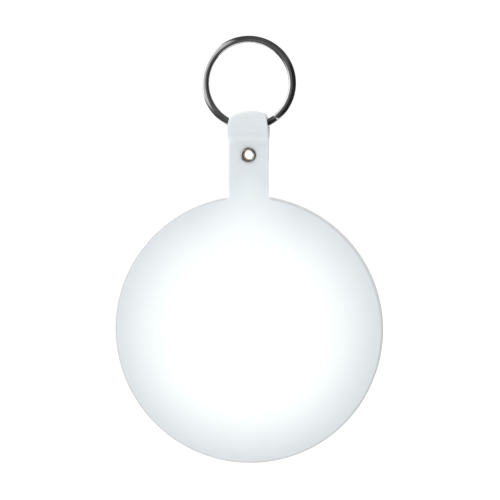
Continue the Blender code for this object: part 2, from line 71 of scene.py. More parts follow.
# ---------------------------------------------------------------------------------------------
# Studio. A pale round floor lies well below the hanging tag. Soft light comes from all round
# it, dimmer behind and below, and the bright metal mirrors a darker room with a few lit panels.
FLOOR_RADIUS = 0.7
FLOOR_DROP = 0.55
FLOOR_COLOUR = (0.74, 0.74, 0.74, 1)
LENS_DISTANCE = 0.70
VIEW_WIDTH = 126.3 * MM
VIEW_AZIMUTH = math.radians(5.5)
VIEW_ELEVATION = math.radians(4.2)
AIM_ABOVE_DISC = 20.16 * MM
AIM_SIDE = 0.3 * MM
BACKDROP = 1.1
SOFT_LIGHT = 1.145
SOFT_PATCHES = [                # axis, cosine where it starts, cosine where it is full, strength
    ((0, 1, 0), 0.40, 0.75, 0.70),
    ((-1, 1.3, 1), 0.927, 0.978, 8.0),
    ((1, 0.45, -1), 0.78, 0.90, 0.0),
    ((0.1, 0.3, -1), 0.76, 0.88, 0.0),
]
MIRRORED_LIGHT = 0.085          # what bright metal sees, apart from its own panels
MIRRORED_PATCHES = [
    ((0.08, -0.99, 0.08), 0.955, 0.980, 0.16),
    ((-0.74, -0.64, 0.20), 0.80, 0.88, 0.80),
    ((-0.93, -0.26, 0.26), 0.80, 0.87, 1.7),
    ((0.76, -0.62, -0.18), 0.80, 0.86, 0.02),
    ((0, -0.2, -1), 0.83, 0.90, 0.7),
    ((0, 1, 0), 0.15, 0.35, 0.42),
    ((-0.5, 0.8, 0.35), 0.90, 0.96, 1.5),
    ((0.45, 0.85, -0.25), 0.93, 0.97, 0.08),
]

disc_low, disc_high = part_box("back_skin")
disc_z = (disc_low.z + disc_high.z) / 2
disc_r = (disc_high.x - disc_low.x) / 2

aim = Vector((AIM_SIDE, 0, disc_z + AIM_ABOVE_DISC))
towards = Vector((math.sin(VIEW_AZIMUTH) * math.cos(VIEW_ELEVATION),
                  -math.cos(VIEW_AZIMUTH) * math.cos(VIEW_ELEVATION),
                  math.sin(VIEW_ELEVATION)))
lens = bpy.data.cameras.new("camera")
lens.sensor_width = 36
lens.lens = lens.sensor_width * LENS_DISTANCE / VIEW_WIDTH
lens.clip_start = 0.01
camera = bpy.data.objects.new("camera", lens)
camera.location = aim + towards * LENS_DISTANCE
camera.rotation_euler = (-towards).to_track_quat("-Z", "Y").to_euler()
bpy.context.scene.collection.objects.link(camera)
bpy.context.scene.camera = camera
bpy.context.scene.view_settings.view_transform = "Standard"

world = bpy.data.worlds.new("soft_studio")
bpy.context.scene.world = world
world.use_nodes = True
sky = world.node_tree
sky_way = sky.nodes.new("ShaderNodeTexCoord")
sky_ray = sky.nodes.new("ShaderNodeLightPath")


def sky_patch(before, axis, start, full, strength):
    """Change the sky's strength to a new one round an axis, between two cosines."""
    near = sky.nodes.new("ShaderNodeVectorMath")
    near.operation = "DOT_PRODUCT"
    near.inputs[1].default_value = Vector(axis).normalized()
    sky.links.new(sky_way.outputs["Generated"], near.inputs[0])
    fade = sky.nodes.new("ShaderNodeMapRange")
    fade.interpolation_type = "SMOOTHSTEP"
    fade.inputs["From Min"].default_value = start
    fade.inputs["From Max"].default_value = full
    sky.links.new(near.outputs["Value"], fade.inputs["Value"])
    return sky_mix(fade.outputs["Result"], before, strength)


def sky_mix(factor, before, after):
    """Mix two strengths, each a number or a node's output."""
    mix = sky.nodes.new("ShaderNodeMix")
    for name, strength in (("A", before), ("B", after)):
        if isinstance(strength, (int, float)):
            mix.inputs[name].default_value = strength
        else:
            sky.links.new(strength, mix.inputs[name])
    sky.links.new(factor, mix.inputs["Factor"])
    return mix.outputs["Result"]


soft_light = SOFT_LIGHT
for patch in SOFT_PATCHES:
    soft_light = sky_patch(soft_light, *patch)
reflected = MIRRORED_LIGHT
for patch in MIRRORED_PATCHES:
    reflected = sky_patch(reflected, *patch)
strength = sky_mix(sky_ray.outputs["Is Glossy Ray"], soft_light, reflected)
strength = sky_mix(sky_ray.outputs["Is Camera Ray"], strength, BACKDROP)
sky.links.new(strength, sky.nodes["Background"].inputs["Strength"])
sky.nodes["Background"].inputs["Color"].default_value = (1, 1, 1, 1)

floor_mesh = bpy.data.meshes.new("floor")
shape = bmesh.new()
bmesh.ops.create_circle(shape, cap_ends=True, segments=64, radius=FLOOR_RADIUS)
shape.to_mesh(floor_mesh)
shape.free()
floor = bpy.data.objects.new("floor", floor_mesh)
floor.location.z = disc_low.z - FLOOR_DROP
bpy.context.scene.collection.objects.link(floor)
floor_finish = bpy.data.materials.new("floor")
floor_finish.use_nodes = True
floor_shader = floor_finish.node_tree.nodes["Principled BSDF"]
floor_shader.inputs["Base Color"].default_value = FLOOR_COLOUR
floor_shader.inputs["Roughness"].default_value = 0.9
floor_mesh.materials.append(floor_finish)


# ---------------------------------------------------------------------------------------------
# Core shells. Two moulded halves of white ABS with a fine spark-eroded texture, which hold
# everything electronic. Three screws close them, and the two soft sheets wrap round them.
def wire(tree, out_node, out_name, in_node, in_name):
    """Join one node's output to another node's input."""
    tree.links.new(out_node.outputs[out_name], in_node.inputs[in_name])


def new_finish(name, colour, roughness, metallic=0.0):
    """A material and its shader node."""
    made = bpy.data.materials.new(name)
    made.use_nodes = True
    surface = made.node_tree.nodes["Principled BSDF"]
    surface.inputs["Base Color"].default_value = (*colour, 1)
    surface.inputs["Roughness"].default_value = roughness
    surface.inputs["Metallic"].default_value = metallic
    return made, surface


def places(tree, kept=None):
    """Object coordinates, or those that a bending mesh keeps from when it was flat."""
    if kept:
        node = tree.nodes.new("ShaderNodeAttribute")
        node.attribute_name = kept
        return node.outputs["Vector"]
    return tree.nodes.new("ShaderNodeTexCoord").outputs["Object"]


def noise(tree, size, detail=3, stretch=(1, 1, 1), kept=None):
    """Object-space noise whose lumps measure about one size across."""
    scale = tree.nodes.new("ShaderNodeMapping")
    scale.inputs["Scale"].default_value = stretch
    lumps = tree.nodes.new("ShaderNodeTexNoise")
    lumps.inputs["Scale"].default_value = 1 / size
    lumps.inputs["Detail"].default_value = detail
    tree.links.new(places(tree, kept), scale.inputs["Vector"])
    wire(tree, scale, "Vector", lumps, "Vector")
    return lumps.outputs["Fac"]


def spread(tree, factor, low, high, target):
    """Map a 0 to 1 factor onto a range, into a shader's socket."""
    ramp = tree.nodes.new("ShaderNodeMapRange")
    ramp.inputs["From Min"].default_value = 0.3
    ramp.inputs["From Max"].default_value = 0.7
    ramp.inputs["To Min"].default_value = low
    ramp.inputs["To Max"].default_value = high
    tree.links.new(factor, ramp.inputs["Value"])
    tree.links.new(ramp.outputs["Result"], target)


def tint(tree, factor, first, second, target=None):
    """Mix two colours, of which the first may be a node's output, by a factor into a socket."""
    mix = tree.nodes.new("ShaderNodeMix")
    mix.data_type = "RGBA"
    if isinstance(first, tuple):
        mix.inputs["A"].default_value = (*first, 1)
    else:
        tree.links.new(first, mix.inputs["A"])
    mix.inputs["B"].default_value = (*second, 1)
    tree.links.new(factor, mix.inputs["Factor"])
    if target:
        tree.links.new(mix.outputs["Result"], target)
    return mix.outputs["Result"]


def relief(tree, surface, heights):
    """Stack bumps, each (factor, height in metres, strength), into the shader's normal."""
    before = None
    for factor, height, strength in heights:
        bump = tree.nodes.new("ShaderNodeBump")
        bump.inputs["Distance"].default_value = height
        bump.inputs["Strength"].default_value = strength
        tree.links.new(factor, bump.inputs["Height"])
        if before:
            wire(tree, before, "Normal", bump, "Normal")
        before = bump
    wire(tree, before, "Normal", surface, "Normal")


def away_from(tree, x, z, kept=None):
    """Distance from an axis that runs along Y through a point."""
    flat = tree.nodes.new("ShaderNodeVectorMath")
    flat.operation = "MULTIPLY"
    flat.inputs[1].default_value = (1, 0, 1)
    gap = tree.nodes.new("ShaderNodeVectorMath")
    gap.operation = "DISTANCE"
    gap.inputs[1].default_value = (x, 0, z)
    tree.links.new(places(tree, kept), flat.inputs[0])
    wire(tree, flat, "Vector", gap, "Vector")
    return gap.outputs["Value"]


def drawn_lines(tree, distance, width):
    """Fine lines that run round an axis, as on drawn wire and turned metal."""
    scaled = tree.nodes.new("ShaderNodeMath")
    scaled.operation = "DIVIDE"
    scaled.inputs[1].default_value = width
    tree.links.new(distance, scaled.inputs[0])
    lines = tree.nodes.new("ShaderNodeTexNoise")
    lines.noise_dimensions = "1D"
    lines.inputs["Scale"].default_value = 1
    lines.inputs["Detail"].default_value = 4
    tree.links.new(scaled.outputs["Value"], lines.inputs["W"])
    return lines.outputs["Fac"]


def fade_between(tree, value, start, full, low=0.0, high=1.0):
    """Map a value between two ends, smoothly, onto a range."""
    fade = tree.nodes.new("ShaderNodeMapRange")
    fade.interpolation_type = "SMOOTHSTEP"
    for name, number in (("From Min", start), ("From Max", full), ("To Min", low), ("To Max", high)):
        fade.inputs[name].default_value = number
    tree.links.new(value, fade.inputs["Value"])
    return fade.outputs["Result"]


def arithmetic(tree, operation, first, second):
    """One sum of two values, each a number or a node's output."""
    result = tree.nodes.new("ShaderNodeMath")
    result.operation = operation
    for socket, value in zip(result.inputs, (first, second)):
        if isinstance(value, (int, float)):
            socket.default_value = value
        else:
            tree.links.new(value, socket)
    return result.outputs["Value"]


def dress(node, finish):
    """Give a carried-over part its finish."""
    for holder in bpy.data.objects[node].material_slots:
        holder.material = finish


def moulded(name, colour, roughness, grain, speck=0.03):
    """Moulded plastic: eroded mould texture, slight clouding and a few smoother patches."""
    made, surface = new_finish(name, colour, roughness)
    tree = made.node_tree
    darker = tuple(channel * (1 - speck) for channel in colour)
    tint(tree, noise(tree, 12 * grain, 3), darker, colour, surface.inputs["Base Color"])
    spread(tree, noise(tree, 6 * grain, 2), roughness * 0.8, roughness * 1.2,
           surface.inputs["Roughness"])
    relief(tree, surface, [(noise(tree, grain, 2), grain * 0.06, 0.5),
                           (noise(tree, 20 * grain, 1), grain * 0.2, 0.15)])
    return made


white_shell = moulded("white_shell_plastic", (0.80, 0.80, 0.79), 0.48, 0.10 * MM)
dress("core_front_shell", white_shell)
dress("core_back_shell", white_shell)


# ---------------------------------------------------------------------------------------------
# Board. A round fibreglass board under green solder mask, with copper tracks showing through
# as raised lighter lines, and gold pads. Three holes let the shell's screws pass.
BOARD_EDGE = 0.06 * MM
TRACK_PITCH = 1.1 * MM
TRACK_WIDTH = 0.012             # as a share of one block of the track pattern
PAD_PITCH = 2.3 * MM
PAD_SPAN = (0.13, 0.10)         # shares of the pitch at which a pad's edge ends and begins
SCREW_HOLE_R = 1.1 * MM
SHARP_ANGLE = 40                # degrees between faces from which an edge is shaded sharp
ON_AXIS = 1e-7                  # metres from an axis within which a point lies on it
SAME_POINT = 1e-9               # metres between two points that count as one
NEARLY_STRAIGHT = math.radians(12)
MOST_OF_SIDE = 0.45             # how much of a side one rounded corner may take


def closed_mesh(name, points, faces):
    """A mesh from points and faces, with every face turned outwards."""
    mesh = bpy.data.meshes.new(name)
    mesh.from_pydata([tuple(p) for p in points], [], faces)
    shape = bmesh.new()
    shape.from_mesh(mesh)
    bmesh.ops.recalc_face_normals(shape, faces=shape.faces)
    shape.to_mesh(mesh)
    shape.free()
    return mesh


def mesh_piece(name, points, faces, body, finish, sharp=SHARP_ANGLE):
    """A new smooth-shaded piece that rides on a body."""
    mesh = closed_mesh(name, points, faces)
    mesh.shade_smooth()
    mesh.set_sharp_from_angle(angle=math.radians(sharp))
    mesh.materials.append(finish)
    piece = bpy.data.objects.new(name, mesh)
    bpy.context.scene.collection.objects.link(piece)
    if body:
        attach(piece, body)
    return piece


def turned(name, profile, body, finish, centre=(0, 0), steps=144, sharp=SHARP_ANGLE):
    """Turn a closed outline of (radius, y) points about an axis along Y."""
    points = []
    rows = []
    for radius, y in profile:
        if radius < ON_AXIS:
            rows.append([len(points)] * steps)
            points.append((centre[0], y, centre[1]))
            continue
        rows.append(list(range(len(points), len(points) + steps)))
        for i in range(steps):
            turn = math.tau * i / steps
            points.append((centre[0] + radius * math.cos(turn), y,
                           centre[1] + radius * math.sin(turn)))
    faces = []
    for first, second in zip(rows, rows[1:] + rows[:1]):
        if first[0] == first[-1] and second[0] == second[-1]:
            continue
        for i in range(steps):
            after = (i + 1) % steps
            corners = (first[i], first[after], second[after], second[i])
            faces.append(tuple(dict.fromkeys(corners)))
    return mesh_piece(name, points, faces, body, finish, sharp)


def rounded(outline, radius, steps=4):
    """Round every corner of a closed outline that isn't on the axis or nearly straight."""
    found = []
    count = len(outline)
    for i, here in enumerate(outline):
        before = Vector(outline[i - 1]) - Vector(here)
        after = Vector(outline[(i + 1) % count]) - Vector(here)
        repeated = min(before.length, after.length) < SAME_POINT
        if here[0] < ON_AXIS or repeated or math.pi - before.angle(after) < NEARLY_STRAIGHT:
            found.append(tuple(here))
            continue
        reach = min(radius / math.tan(before.angle(after) / 2), before.length * MOST_OF_SIDE,
                    after.length * MOST_OF_SIDE)
        start = Vector(here) + before.normalized() * reach
        end = Vector(here) + after.normalized() * reach
        for k in range(steps + 1):
            share = k / steps
            bend = start.lerp(Vector(here), share).lerp(Vector(here).lerp(end, share), share)
            found.append(tuple(bend))
    return found


def cut(piece, points, faces, name, how="DIFFERENCE"):
    """Cut a closed shape out of a piece, or add it, and keep the result as its mesh."""
    tool = bpy.data.objects.new(name, closed_mesh(name, points, faces))
    bpy.context.scene.collection.objects.link(tool)
    step = piece.modifiers.new(name, "BOOLEAN")
    step.object = tool
    step.operation = how
    step.solver = "EXACT"
    view = bpy.context.evaluated_depsgraph_get()
    result = bpy.data.meshes.new_from_object(piece.evaluated_get(view))
    piece.modifiers.clear()
    piece.data = result
    bpy.data.objects.remove(tool)
    result.shade_smooth()
    result.set_sharp_from_angle(angle=math.radians(SHARP_ANGLE))


def prism_faces(count):
    """Faces of a closed prism whose points are its near outline and then its far one."""
    sides = [(i, (i + 1) % count, count + (i + 1) % count, count + i) for i in range(count)]
    return sides + [tuple(range(count)), tuple(range(count, 2 * count))]


def rod(x, z, radius, low, high, sides):
    """Points and faces of a closed cylinder along Y."""
    points = []
    for y in (low, high):
        for i in range(sides):
            turn = math.tau * (i + 0.5) / sides
            points.append((x + radius * math.cos(turn), y, z + radius * math.sin(turn)))
    return points, prism_faces(sides)


board_low, board_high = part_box("pcb")
solder_mask, surface = new_finish("solder_mask", (0.02, 0.12, 0.06), 0.35)
tree = solder_mask.node_tree
turn_flat = tree.nodes.new("ShaderNodeMapping")
turn_flat.inputs["Rotation"].default_value = (math.pi / 2, 0, 0)
tree.links.new(places(tree), turn_flat.inputs["Vector"])
tracks = tree.nodes.new("ShaderNodeTexBrick")
tracks.inputs["Scale"].default_value = 1 / (4 * TRACK_PITCH)
tracks.inputs["Mortar Size"].default_value = TRACK_WIDTH
tracks.inputs["Mortar Smooth"].default_value = 0.3
tracks.offset = 0.37
wire(tree, turn_flat, "Vector", tracks, "Vector")
pads = tree.nodes.new("ShaderNodeTexVoronoi")
pads.inputs["Scale"].default_value = 1 / PAD_PITCH
wire(tree, turn_flat, "Vector", pads, "Vector")
is_pad = fade_between(tree, pads.outputs["Distance"], *PAD_SPAN)
green = tint(tree, tracks.outputs["Fac"], (0.015, 0.10, 0.05), (0.05, 0.22, 0.11))
tint(tree, is_pad, green, (0.80, 0.60, 0.25), surface.inputs["Base Color"])
tree.links.new(is_pad, surface.inputs["Metallic"])
spread(tree, noise(tree, 3 * MM), 0.28, 0.42, surface.inputs["Roughness"])
relief(tree, surface, [(tracks.outputs["Fac"], 0.03 * MM, 0.6),
                       (noise(tree, 0.12 * MM), 0.004 * MM, 0.4)])
board_r = (board_high.x - board_low.x) / 2
board_outline = [(0, board_low.y), (board_r, board_low.y), (board_r, board_high.y),
                 (0, board_high.y)]
board = turned("round_board", rounded(board_outline, BOARD_EDGE), "tag", solder_mask, (0, disc_z))
screws = [f"core_screw_{i}" for i in (1, 2, 3)]
for i, node in enumerate(screws, 1):
    middle = sum(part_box(node), Vector()) / 2
    hole = rod(middle.x, middle.z, SCREW_HOLE_R, board_low.y - MM, board_high.y + MM, 40)
    cut(board, *hole, f"board_hole_{i}")
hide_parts("pcb")


# ---------------------------------------------------------------------------------------------
# Radio, crystal, antenna, light and switch. Small parts soldered to the front of the board:
# a black chip under a pressed tin-plated can, a metal-lidded crystal and a ceramic antenna.
CAN_WALL = 0.2 * MM
CAN_EDGE = 0.35 * MM
CAN_HOLE_R = 0.32 * MM
CAN_HOLE_PITCH = 1.5 * MM
CAN_HOLE_DEPTH = 0.4 * MM
CHIP_EDGE = 0.05 * MM
PIN_MARK_R = 0.28 * MM
PIN_MARK_IN = 0.7 * MM
PIN_MARK_DEPTH = 0.05 * MM
CRYSTAL_LID_IN = 0.18 * MM
CRYSTAL_LID_EDGE = 0.06 * MM
CRYSTAL_LID_SEAT = 0.02 * MM
CRYSTAL_BASE_H = 0.32 * MM
CRYSTAL_BASE_EDGE = 0.05 * MM


def soft_block(low, high, edge, only_front=False):
    """Points and faces of a block with rounded edges, or with only its front face's rounded."""
    shape = bmesh.new()
    bmesh.ops.create_cube(shape, size=1)
    middle = (low + high) / 2
    size = high - low
    for vertex in shape.verts:
        vertex.co = Vector(a * b for a, b in zip(vertex.co, size)) + middle
    chosen = shape.edges[:]
    if only_front:
        chosen = [e for e in chosen if min(v.co.y for v in e.verts) < middle.y]
    bmesh.ops.bevel(shape, geom=chosen, offset=edge, segments=3, profile=0.5, affect="EDGES")
    points = [vertex.co.copy() for vertex in shape.verts]
    faces = [tuple(v.index for v in face.verts) for face in shape.faces]
    shape.free()
    return points, faces


def plated(name, first, second, smooth, dull, size, stretch=(1, 1, 1)):
    """Plated or bare metal: two close tones, uneven polish and fine rolling marks."""
    made, surface = new_finish(name, first, smooth, 1.0)
    tree = made.node_tree
    tint(tree, noise(tree, size, 4), first, second, surface.inputs["Base Color"])
    spread(tree, noise(tree, size / 2, 3), smooth, dull, surface.inputs["Roughness"])
    relief(tree, surface, [(noise(tree, size / 12, 3, stretch), size / 250, 0.5)])
    return made


tin_plate = plated("tin_plate", (0.62, 0.62, 0.63), (0.72, 0.72, 0.71), 0.22, 0.40, 2 * MM,
                   (1, 1, 8))
can_low, can_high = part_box("shield_can")
can = mesh_piece("radio_can", *soft_block(can_low, can_high, CAN_EDGE, True), "tag", tin_plate)
inner_low = can_low + Vector((CAN_WALL, CAN_WALL, CAN_WALL))
inner_high = can_high - Vector((CAN_WALL, -MM, CAN_WALL))
cut(can, *soft_block(inner_low, inner_high, CAN_EDGE / 2, True), "can_inside")
can_middle = (can_low + can_high) / 2
for i in range(9):
    hole_x = can_middle.x + (i % 3 - 1) * CAN_HOLE_PITCH
    hole_z = can_middle.z + (i // 3 - 1) * CAN_HOLE_PITCH
    vent = rod(hole_x, hole_z, CAN_HOLE_R, can_low.y - MM, can_low.y + CAN_HOLE_DEPTH, 20)
    cut(can, *vent, f"can_vent_{i}")
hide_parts("shield_can")

black_epoxy = moulded("black_epoxy", (0.022, 0.022, 0.024), 0.5, 0.05 * MM, 0.3)
chip_low, chip_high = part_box("radio_chip")
chip = mesh_piece("radio_chip_body", *soft_block(chip_low, chip_high, CHIP_EDGE), "tag",
                  black_epoxy)
mark = rod(chip_low.x + PIN_MARK_IN, chip_high.z - PIN_MARK_IN, PIN_MARK_R, chip_low.y - MM,
           chip_low.y + PIN_MARK_DEPTH, 24)
cut(chip, *mark, "pin_mark")
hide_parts("radio_chip")

gold_plate = plated("gold_plate", (0.78, 0.60, 0.28), (0.86, 0.68, 0.36), 0.18, 0.34, MM)
crystal_low, crystal_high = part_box("crystal")
lid_low = crystal_low + Vector((CRYSTAL_LID_IN, 0, CRYSTAL_LID_IN))
lid_high = crystal_high - Vector((CRYSTAL_LID_IN, CRYSTAL_BASE_H - CRYSTAL_LID_SEAT,
                                  CRYSTAL_LID_IN))
lid = mesh_piece("crystal_lid", *soft_block(lid_low, lid_high, CRYSTAL_LID_EDGE, True), "tag",
                 gold_plate)
base_low = crystal_low + Vector((0, crystal_high.y - crystal_low.y - CRYSTAL_BASE_H, 0))
ceramic_white = moulded("white_ceramic", (0.78, 0.77, 0.73), 0.42, 0.06 * MM)
crystal_base = mesh_piece("crystal_base",
                          *soft_block(base_low, crystal_high, CRYSTAL_BASE_EDGE), "tag",
                          ceramic_white)
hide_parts("crystal")
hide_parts("crystal")
dress("chip_antenna", ceramic_white)

clear_resin, surface = new_finish("clear_resin", (0.86, 0.86, 0.70), 0.2)
tree = clear_resin.node_tree
tint(tree, noise(tree, 0.5 * MM), (0.88, 0.86, 0.66), (0.80, 0.80, 0.70),
     surface.inputs["Base Color"])
spread(tree, noise(tree, 0.3 * MM), 0.12, 0.25, surface.inputs["Roughness"])
relief(tree, surface, [(noise(tree, 0.2 * MM), 0.004 * MM, 0.3)])
surface.inputs["Coat Weight"].default_value = 0.5
dress("led", clear_resin)
dress("switch_base", moulded("black_switch_plastic", (0.03, 0.03, 0.032), 0.45, 0.06 * MM, 0.2))


# ---------------------------------------------------------------------------------------------
# Sounder. A thin brass disc with a fired ceramic disc on its back, stuck to the shell's front
# wall by a foam ring. Two gold-plated coil springs on the board press on brass and ceramic.
SPRING_WIRE_R = 0.075 * MM
SPRING_TURNS = 4
SPRING_STEPS = 24
SPRING_WIRE_SIDES = 8
SPRING_FLAT_END = 0.12          # share of the coil that lies flat at each end
SHEET_EDGE = 0.03 * MM
FOAM_WIDTH = 1.1 * MM
FOAM_CELL = 0.15 * MM


def ring_or_disc(name, node, hole_r, edge, body, finish, steps=144):
    """Replace a flat round part by a finely turned one with softened edges."""
    low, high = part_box(node)
    outer = (high.x - low.x) / 2
    outline = [(hole_r, low.y), (outer, low.y), (outer, high.y), (hole_r, high.y)]
    middle = (low + high) / 2
    piece = turned(name, rounded(outline, edge), body, finish, (middle.x, middle.z), steps)
    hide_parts(node)
    return piece


foam_black, surface = new_finish("open_foam", (0.05, 0.05, 0.05), 0.95)
tree = foam_black.node_tree
cells = tree.nodes.new("ShaderNodeTexVoronoi")
cells.inputs["Scale"].default_value = 1 / FOAM_CELL
tree.links.new(places(tree), cells.inputs["Vector"])
tint(tree, cells.outputs["Distance"], (0.10, 0.10, 0.10), (0.015, 0.015, 0.015),
     surface.inputs["Base Color"])
relief(tree, surface, [(cells.outputs["Distance"], 0.06 * MM, 0.8)])
foam_low, foam_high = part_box("piezo_foam")
foam_hole_r = (foam_high.x - foam_low.x) / 2 - FOAM_WIDTH
ring_or_disc("sounder_foam_ring", "piezo_foam", foam_hole_r, SHEET_EDGE, "tag", foam_black)
rolled_brass = plated("rolled_brass", (0.68, 0.49, 0.22), (0.78, 0.60, 0.30), 0.2, 0.36, 2 * MM,
                      (1, 1, 10))
ring_or_disc("sounder_brass_disc", "piezo_brass", 0, SHEET_EDGE, "tag", rolled_brass)
fired_ceramic = moulded("fired_ceramic", (0.74, 0.71, 0.64), 0.6, 0.08 * MM, 0.1)
ring_or_disc("sounder_ceramic_disc", "piezo_ceramic", 0, SHEET_EDGE, "tag", fired_ceramic)


def tube_faces(stations, sides):
    """Faces of a closed tube whose points are one ring of sides at each station."""
    faces = []
    for i in range(stations - 1):
        for k in range(sides):
            a = i * sides + k
            b = i * sides + (k + 1) % sides
            faces.append((a, b, b + sides, a + sides))
    last = (stations - 1) * sides
    faces.append(tuple(range(sides)))
    faces.append(tuple(range(last, last + sides)))
    return faces


def tube_along(route, radius, sides):
    """Points and faces of a closed tube along a route."""
    points = []
    for i, here in enumerate(route):
        ahead = route[min(i + 1, len(route) - 1)] - route[max(i - 1, 0)]
        across = ahead.cross(Vector((0, 1, 0))).normalized()
        up = across.cross(ahead).normalized()
        for k in range(sides):
            turn = math.tau * k / sides
            points.append(here + radius * (math.cos(turn) * across + math.sin(turn) * up))
    return points, tube_faces(len(route), sides)


for i in (1, 2):
    low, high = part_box(f"piezo_spring_{i}")
    middle = (low + high) / 2
    coil_r = (high.x - low.x) / 2 - SPRING_WIRE_R
    rise = high.y - low.y - 2 * SPRING_WIRE_R
    count = SPRING_TURNS * SPRING_STEPS
    coil = []
    for k in range(count + 1):
        turn = math.tau * k / SPRING_STEPS
        lift = min(max((k / count - SPRING_FLAT_END) / (1 - 2 * SPRING_FLAT_END), 0), 1)
        coil.append(Vector((middle.x + coil_r * math.cos(turn), low.y + SPRING_WIRE_R + rise * lift,
                            middle.z + coil_r * math.sin(turn))))
    spring = mesh_piece(f"sounder_spring_{i}", *tube_along(coil, SPRING_WIRE_R, SPRING_WIRE_SIDES),
                        "tag", gold_plate, 60)
    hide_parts(f"piezo_spring_{i}")


# ---------------------------------------------------------------------------------------------
# Button. A soft-cornered white plastic cap that lies flush in the front shell, under the soft
# front. A small plunger in the switch carries its travel.
BUTTON_EDGE = 0.25 * MM
BUTTON_STEM_R = 0.85 * MM
BUTTON_CUP_R = 3.4 * MM
BUTTON_FLANGE_H = 0.3 * MM
BUTTON_FLANGE_REACH = 1.2 * MM
BUTTON_FLANGE_DOWN = 1.1 * MM   # from the shell's outside to the flange
BUTTON_ROOF = 0.6 * MM
SWITCH_PIN_EDGE = 0.08 * MM

cap_low, cap_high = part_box("button_cap")
flange_r = (cap_high.x - cap_low.x) / 2
cap_r = flange_r - BUTTON_FLANGE_REACH
flange_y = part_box("core_front_shell")[0].y + BUTTON_FLANGE_DOWN
roof_y = cap_low.y + BUTTON_ROOF
cap_outline = [(0, cap_low.y), (cap_r, cap_low.y), (cap_r, flange_y), (flange_r, flange_y),
               (flange_r, flange_y + BUTTON_FLANGE_H), (BUTTON_CUP_R, flange_y + BUTTON_FLANGE_H),
               (BUTTON_CUP_R, roof_y), (BUTTON_STEM_R, roof_y), (BUTTON_STEM_R, cap_high.y),
               (0, cap_high.y)]
button = turned("button_plate", rounded(cap_outline, BUTTON_EDGE), "button", white_shell,
                (0, disc_z))
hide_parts("button_cap")
plunger_plastic = moulded("natural_nylon", (0.76, 0.75, 0.70), 0.38, 0.05 * MM)
ring_or_disc("switch_pin", "switch_plunger", 0, SWITCH_PIN_EDGE, "button", plunger_plastic,
             48)


# ---------------------------------------------------------------------------------------------
# Cell and contacts. A flat lithium coin cell lies cap side to the board. Its steel can is
# crimped over a black gasket, and two leaves of plated spring steel touch the can and the cap.
CAN_RIM = 0.35 * MM
CAN_THICK = 0.3 * MM
CAP_CROWN = 0.25 * MM
CAP_SHOULDER = (1.2 * MM, 0.8 * MM)     # where its raised middle ends and its flat rim begins
CAP_EDGE = 0.15 * MM
GASKET_EDGE = 0.06 * MM
GASKET_GAP = 0.1 * MM

cell_steel = plated("rolled_steel", (0.60, 0.60, 0.60), (0.68, 0.68, 0.67), 0.16, 0.32, 3 * MM,
                    (1, 1, 12))
can_low, can_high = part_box("cell_can")
cell_r = (can_high.x - can_low.x) / 2
inner_r = cell_r - CAN_THICK
inner_y = can_high.y - CAN_THICK
can_outline = [(0, can_high.y), (cell_r, can_high.y), (cell_r, can_low.y), (inner_r, can_low.y),
               (inner_r, inner_y), (0, inner_y)]
cell_can = turned("coin_cell_can", rounded(can_outline, CAN_RIM), "tag", cell_steel, (0, disc_z))
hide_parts("cell_can")
cap_low, cap_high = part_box("cell_cap")
cell_cap_r = (cap_high.x - cap_low.x) / 2
shoulder_y = cap_low.y + CAP_CROWN
cap_outline = [(0, cap_low.y), (cell_cap_r - CAP_SHOULDER[0], cap_low.y),
               (cell_cap_r - CAP_SHOULDER[1], shoulder_y), (cell_cap_r, shoulder_y),
               (cell_cap_r, cap_high.y), (0, cap_high.y)]
cell_cap = turned("coin_cell_cap", rounded(cap_outline, CAP_EDGE), "tag", cell_steel, (0, disc_z))
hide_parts("cell_cap")
black_nylon = moulded("gasket_nylon", (0.03, 0.03, 0.033), 0.5, 0.08 * MM, 0.2)
ring_or_disc("coin_cell_gasket", "cell_seal", cell_cap_r + GASKET_GAP, GASKET_EDGE, "tag",
             black_nylon)
dress("positive_contact", gold_plate)
dress("negative_contact", gold_plate)


# ---------------------------------------------------------------------------------------------
# Battery door and seal. A white plastic disc that turns 35 degrees with a coin and lifts out:
# three lugs on its skirt pass under the shell's ledge and squeeze a round silicone ring.
DOOR_EDGE = 0.22 * MM
DOOR_DISH = 0.12 * MM
DOOR_RIM = (2.2 * MM, 1.6 * MM)         # where the dished middle ends and the flat rim begins
SLOT_LENGTH = 13 * MM
SLOT_WIDTH = 1.8 * MM
SLOT_DEPTH = 0.6 * MM
SKIRT_IN_R = 10.3 * MM
SKIRT_THICK = 0.8 * MM
DOOR_THICK = 0.9 * MM
LUG_REACH = 1.0 * MM
LUG_TALL = 0.7 * MM
LUG_SPAN = math.radians(24)
SLOT_STEPS = 10
SEAL_SIDES = 20

door_low, door_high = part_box("battery_door")
door_r = (door_high.x - door_low.x) / 2
inside_y = door_high.y - DOOR_THICK
skirt_r = SKIRT_IN_R + SKIRT_THICK
dished_y = door_high.y - DOOR_DISH
door_outline = [(0, dished_y), (door_r - DOOR_RIM[0], dished_y),
                (door_r - DOOR_RIM[1], door_high.y), (door_r, door_high.y), (door_r, inside_y),
                (skirt_r, inside_y), (skirt_r, door_low.y), (SKIRT_IN_R, door_low.y),
                (SKIRT_IN_R, inside_y), (0, inside_y)]
door = turned("coin_slot_door", rounded(door_outline, DOOR_EDGE), "door", white_shell, (0, disc_z))


def wedge(inner, outer, middle, span, low, high, steps=12):
    """Points and faces of a closed sector of a ring about the door's axis."""
    flat = []
    for radius, order in ((inner, 1), (outer, -1)):
        for i in range(steps + 1):
            turn = middle + order * span * (i / steps - 0.5)
            flat.append((radius * math.cos(turn), radius * math.sin(turn)))
    points = [(x, y, disc_z + z) for y in (low, high) for x, z in flat]
    return points, prism_faces(len(flat))


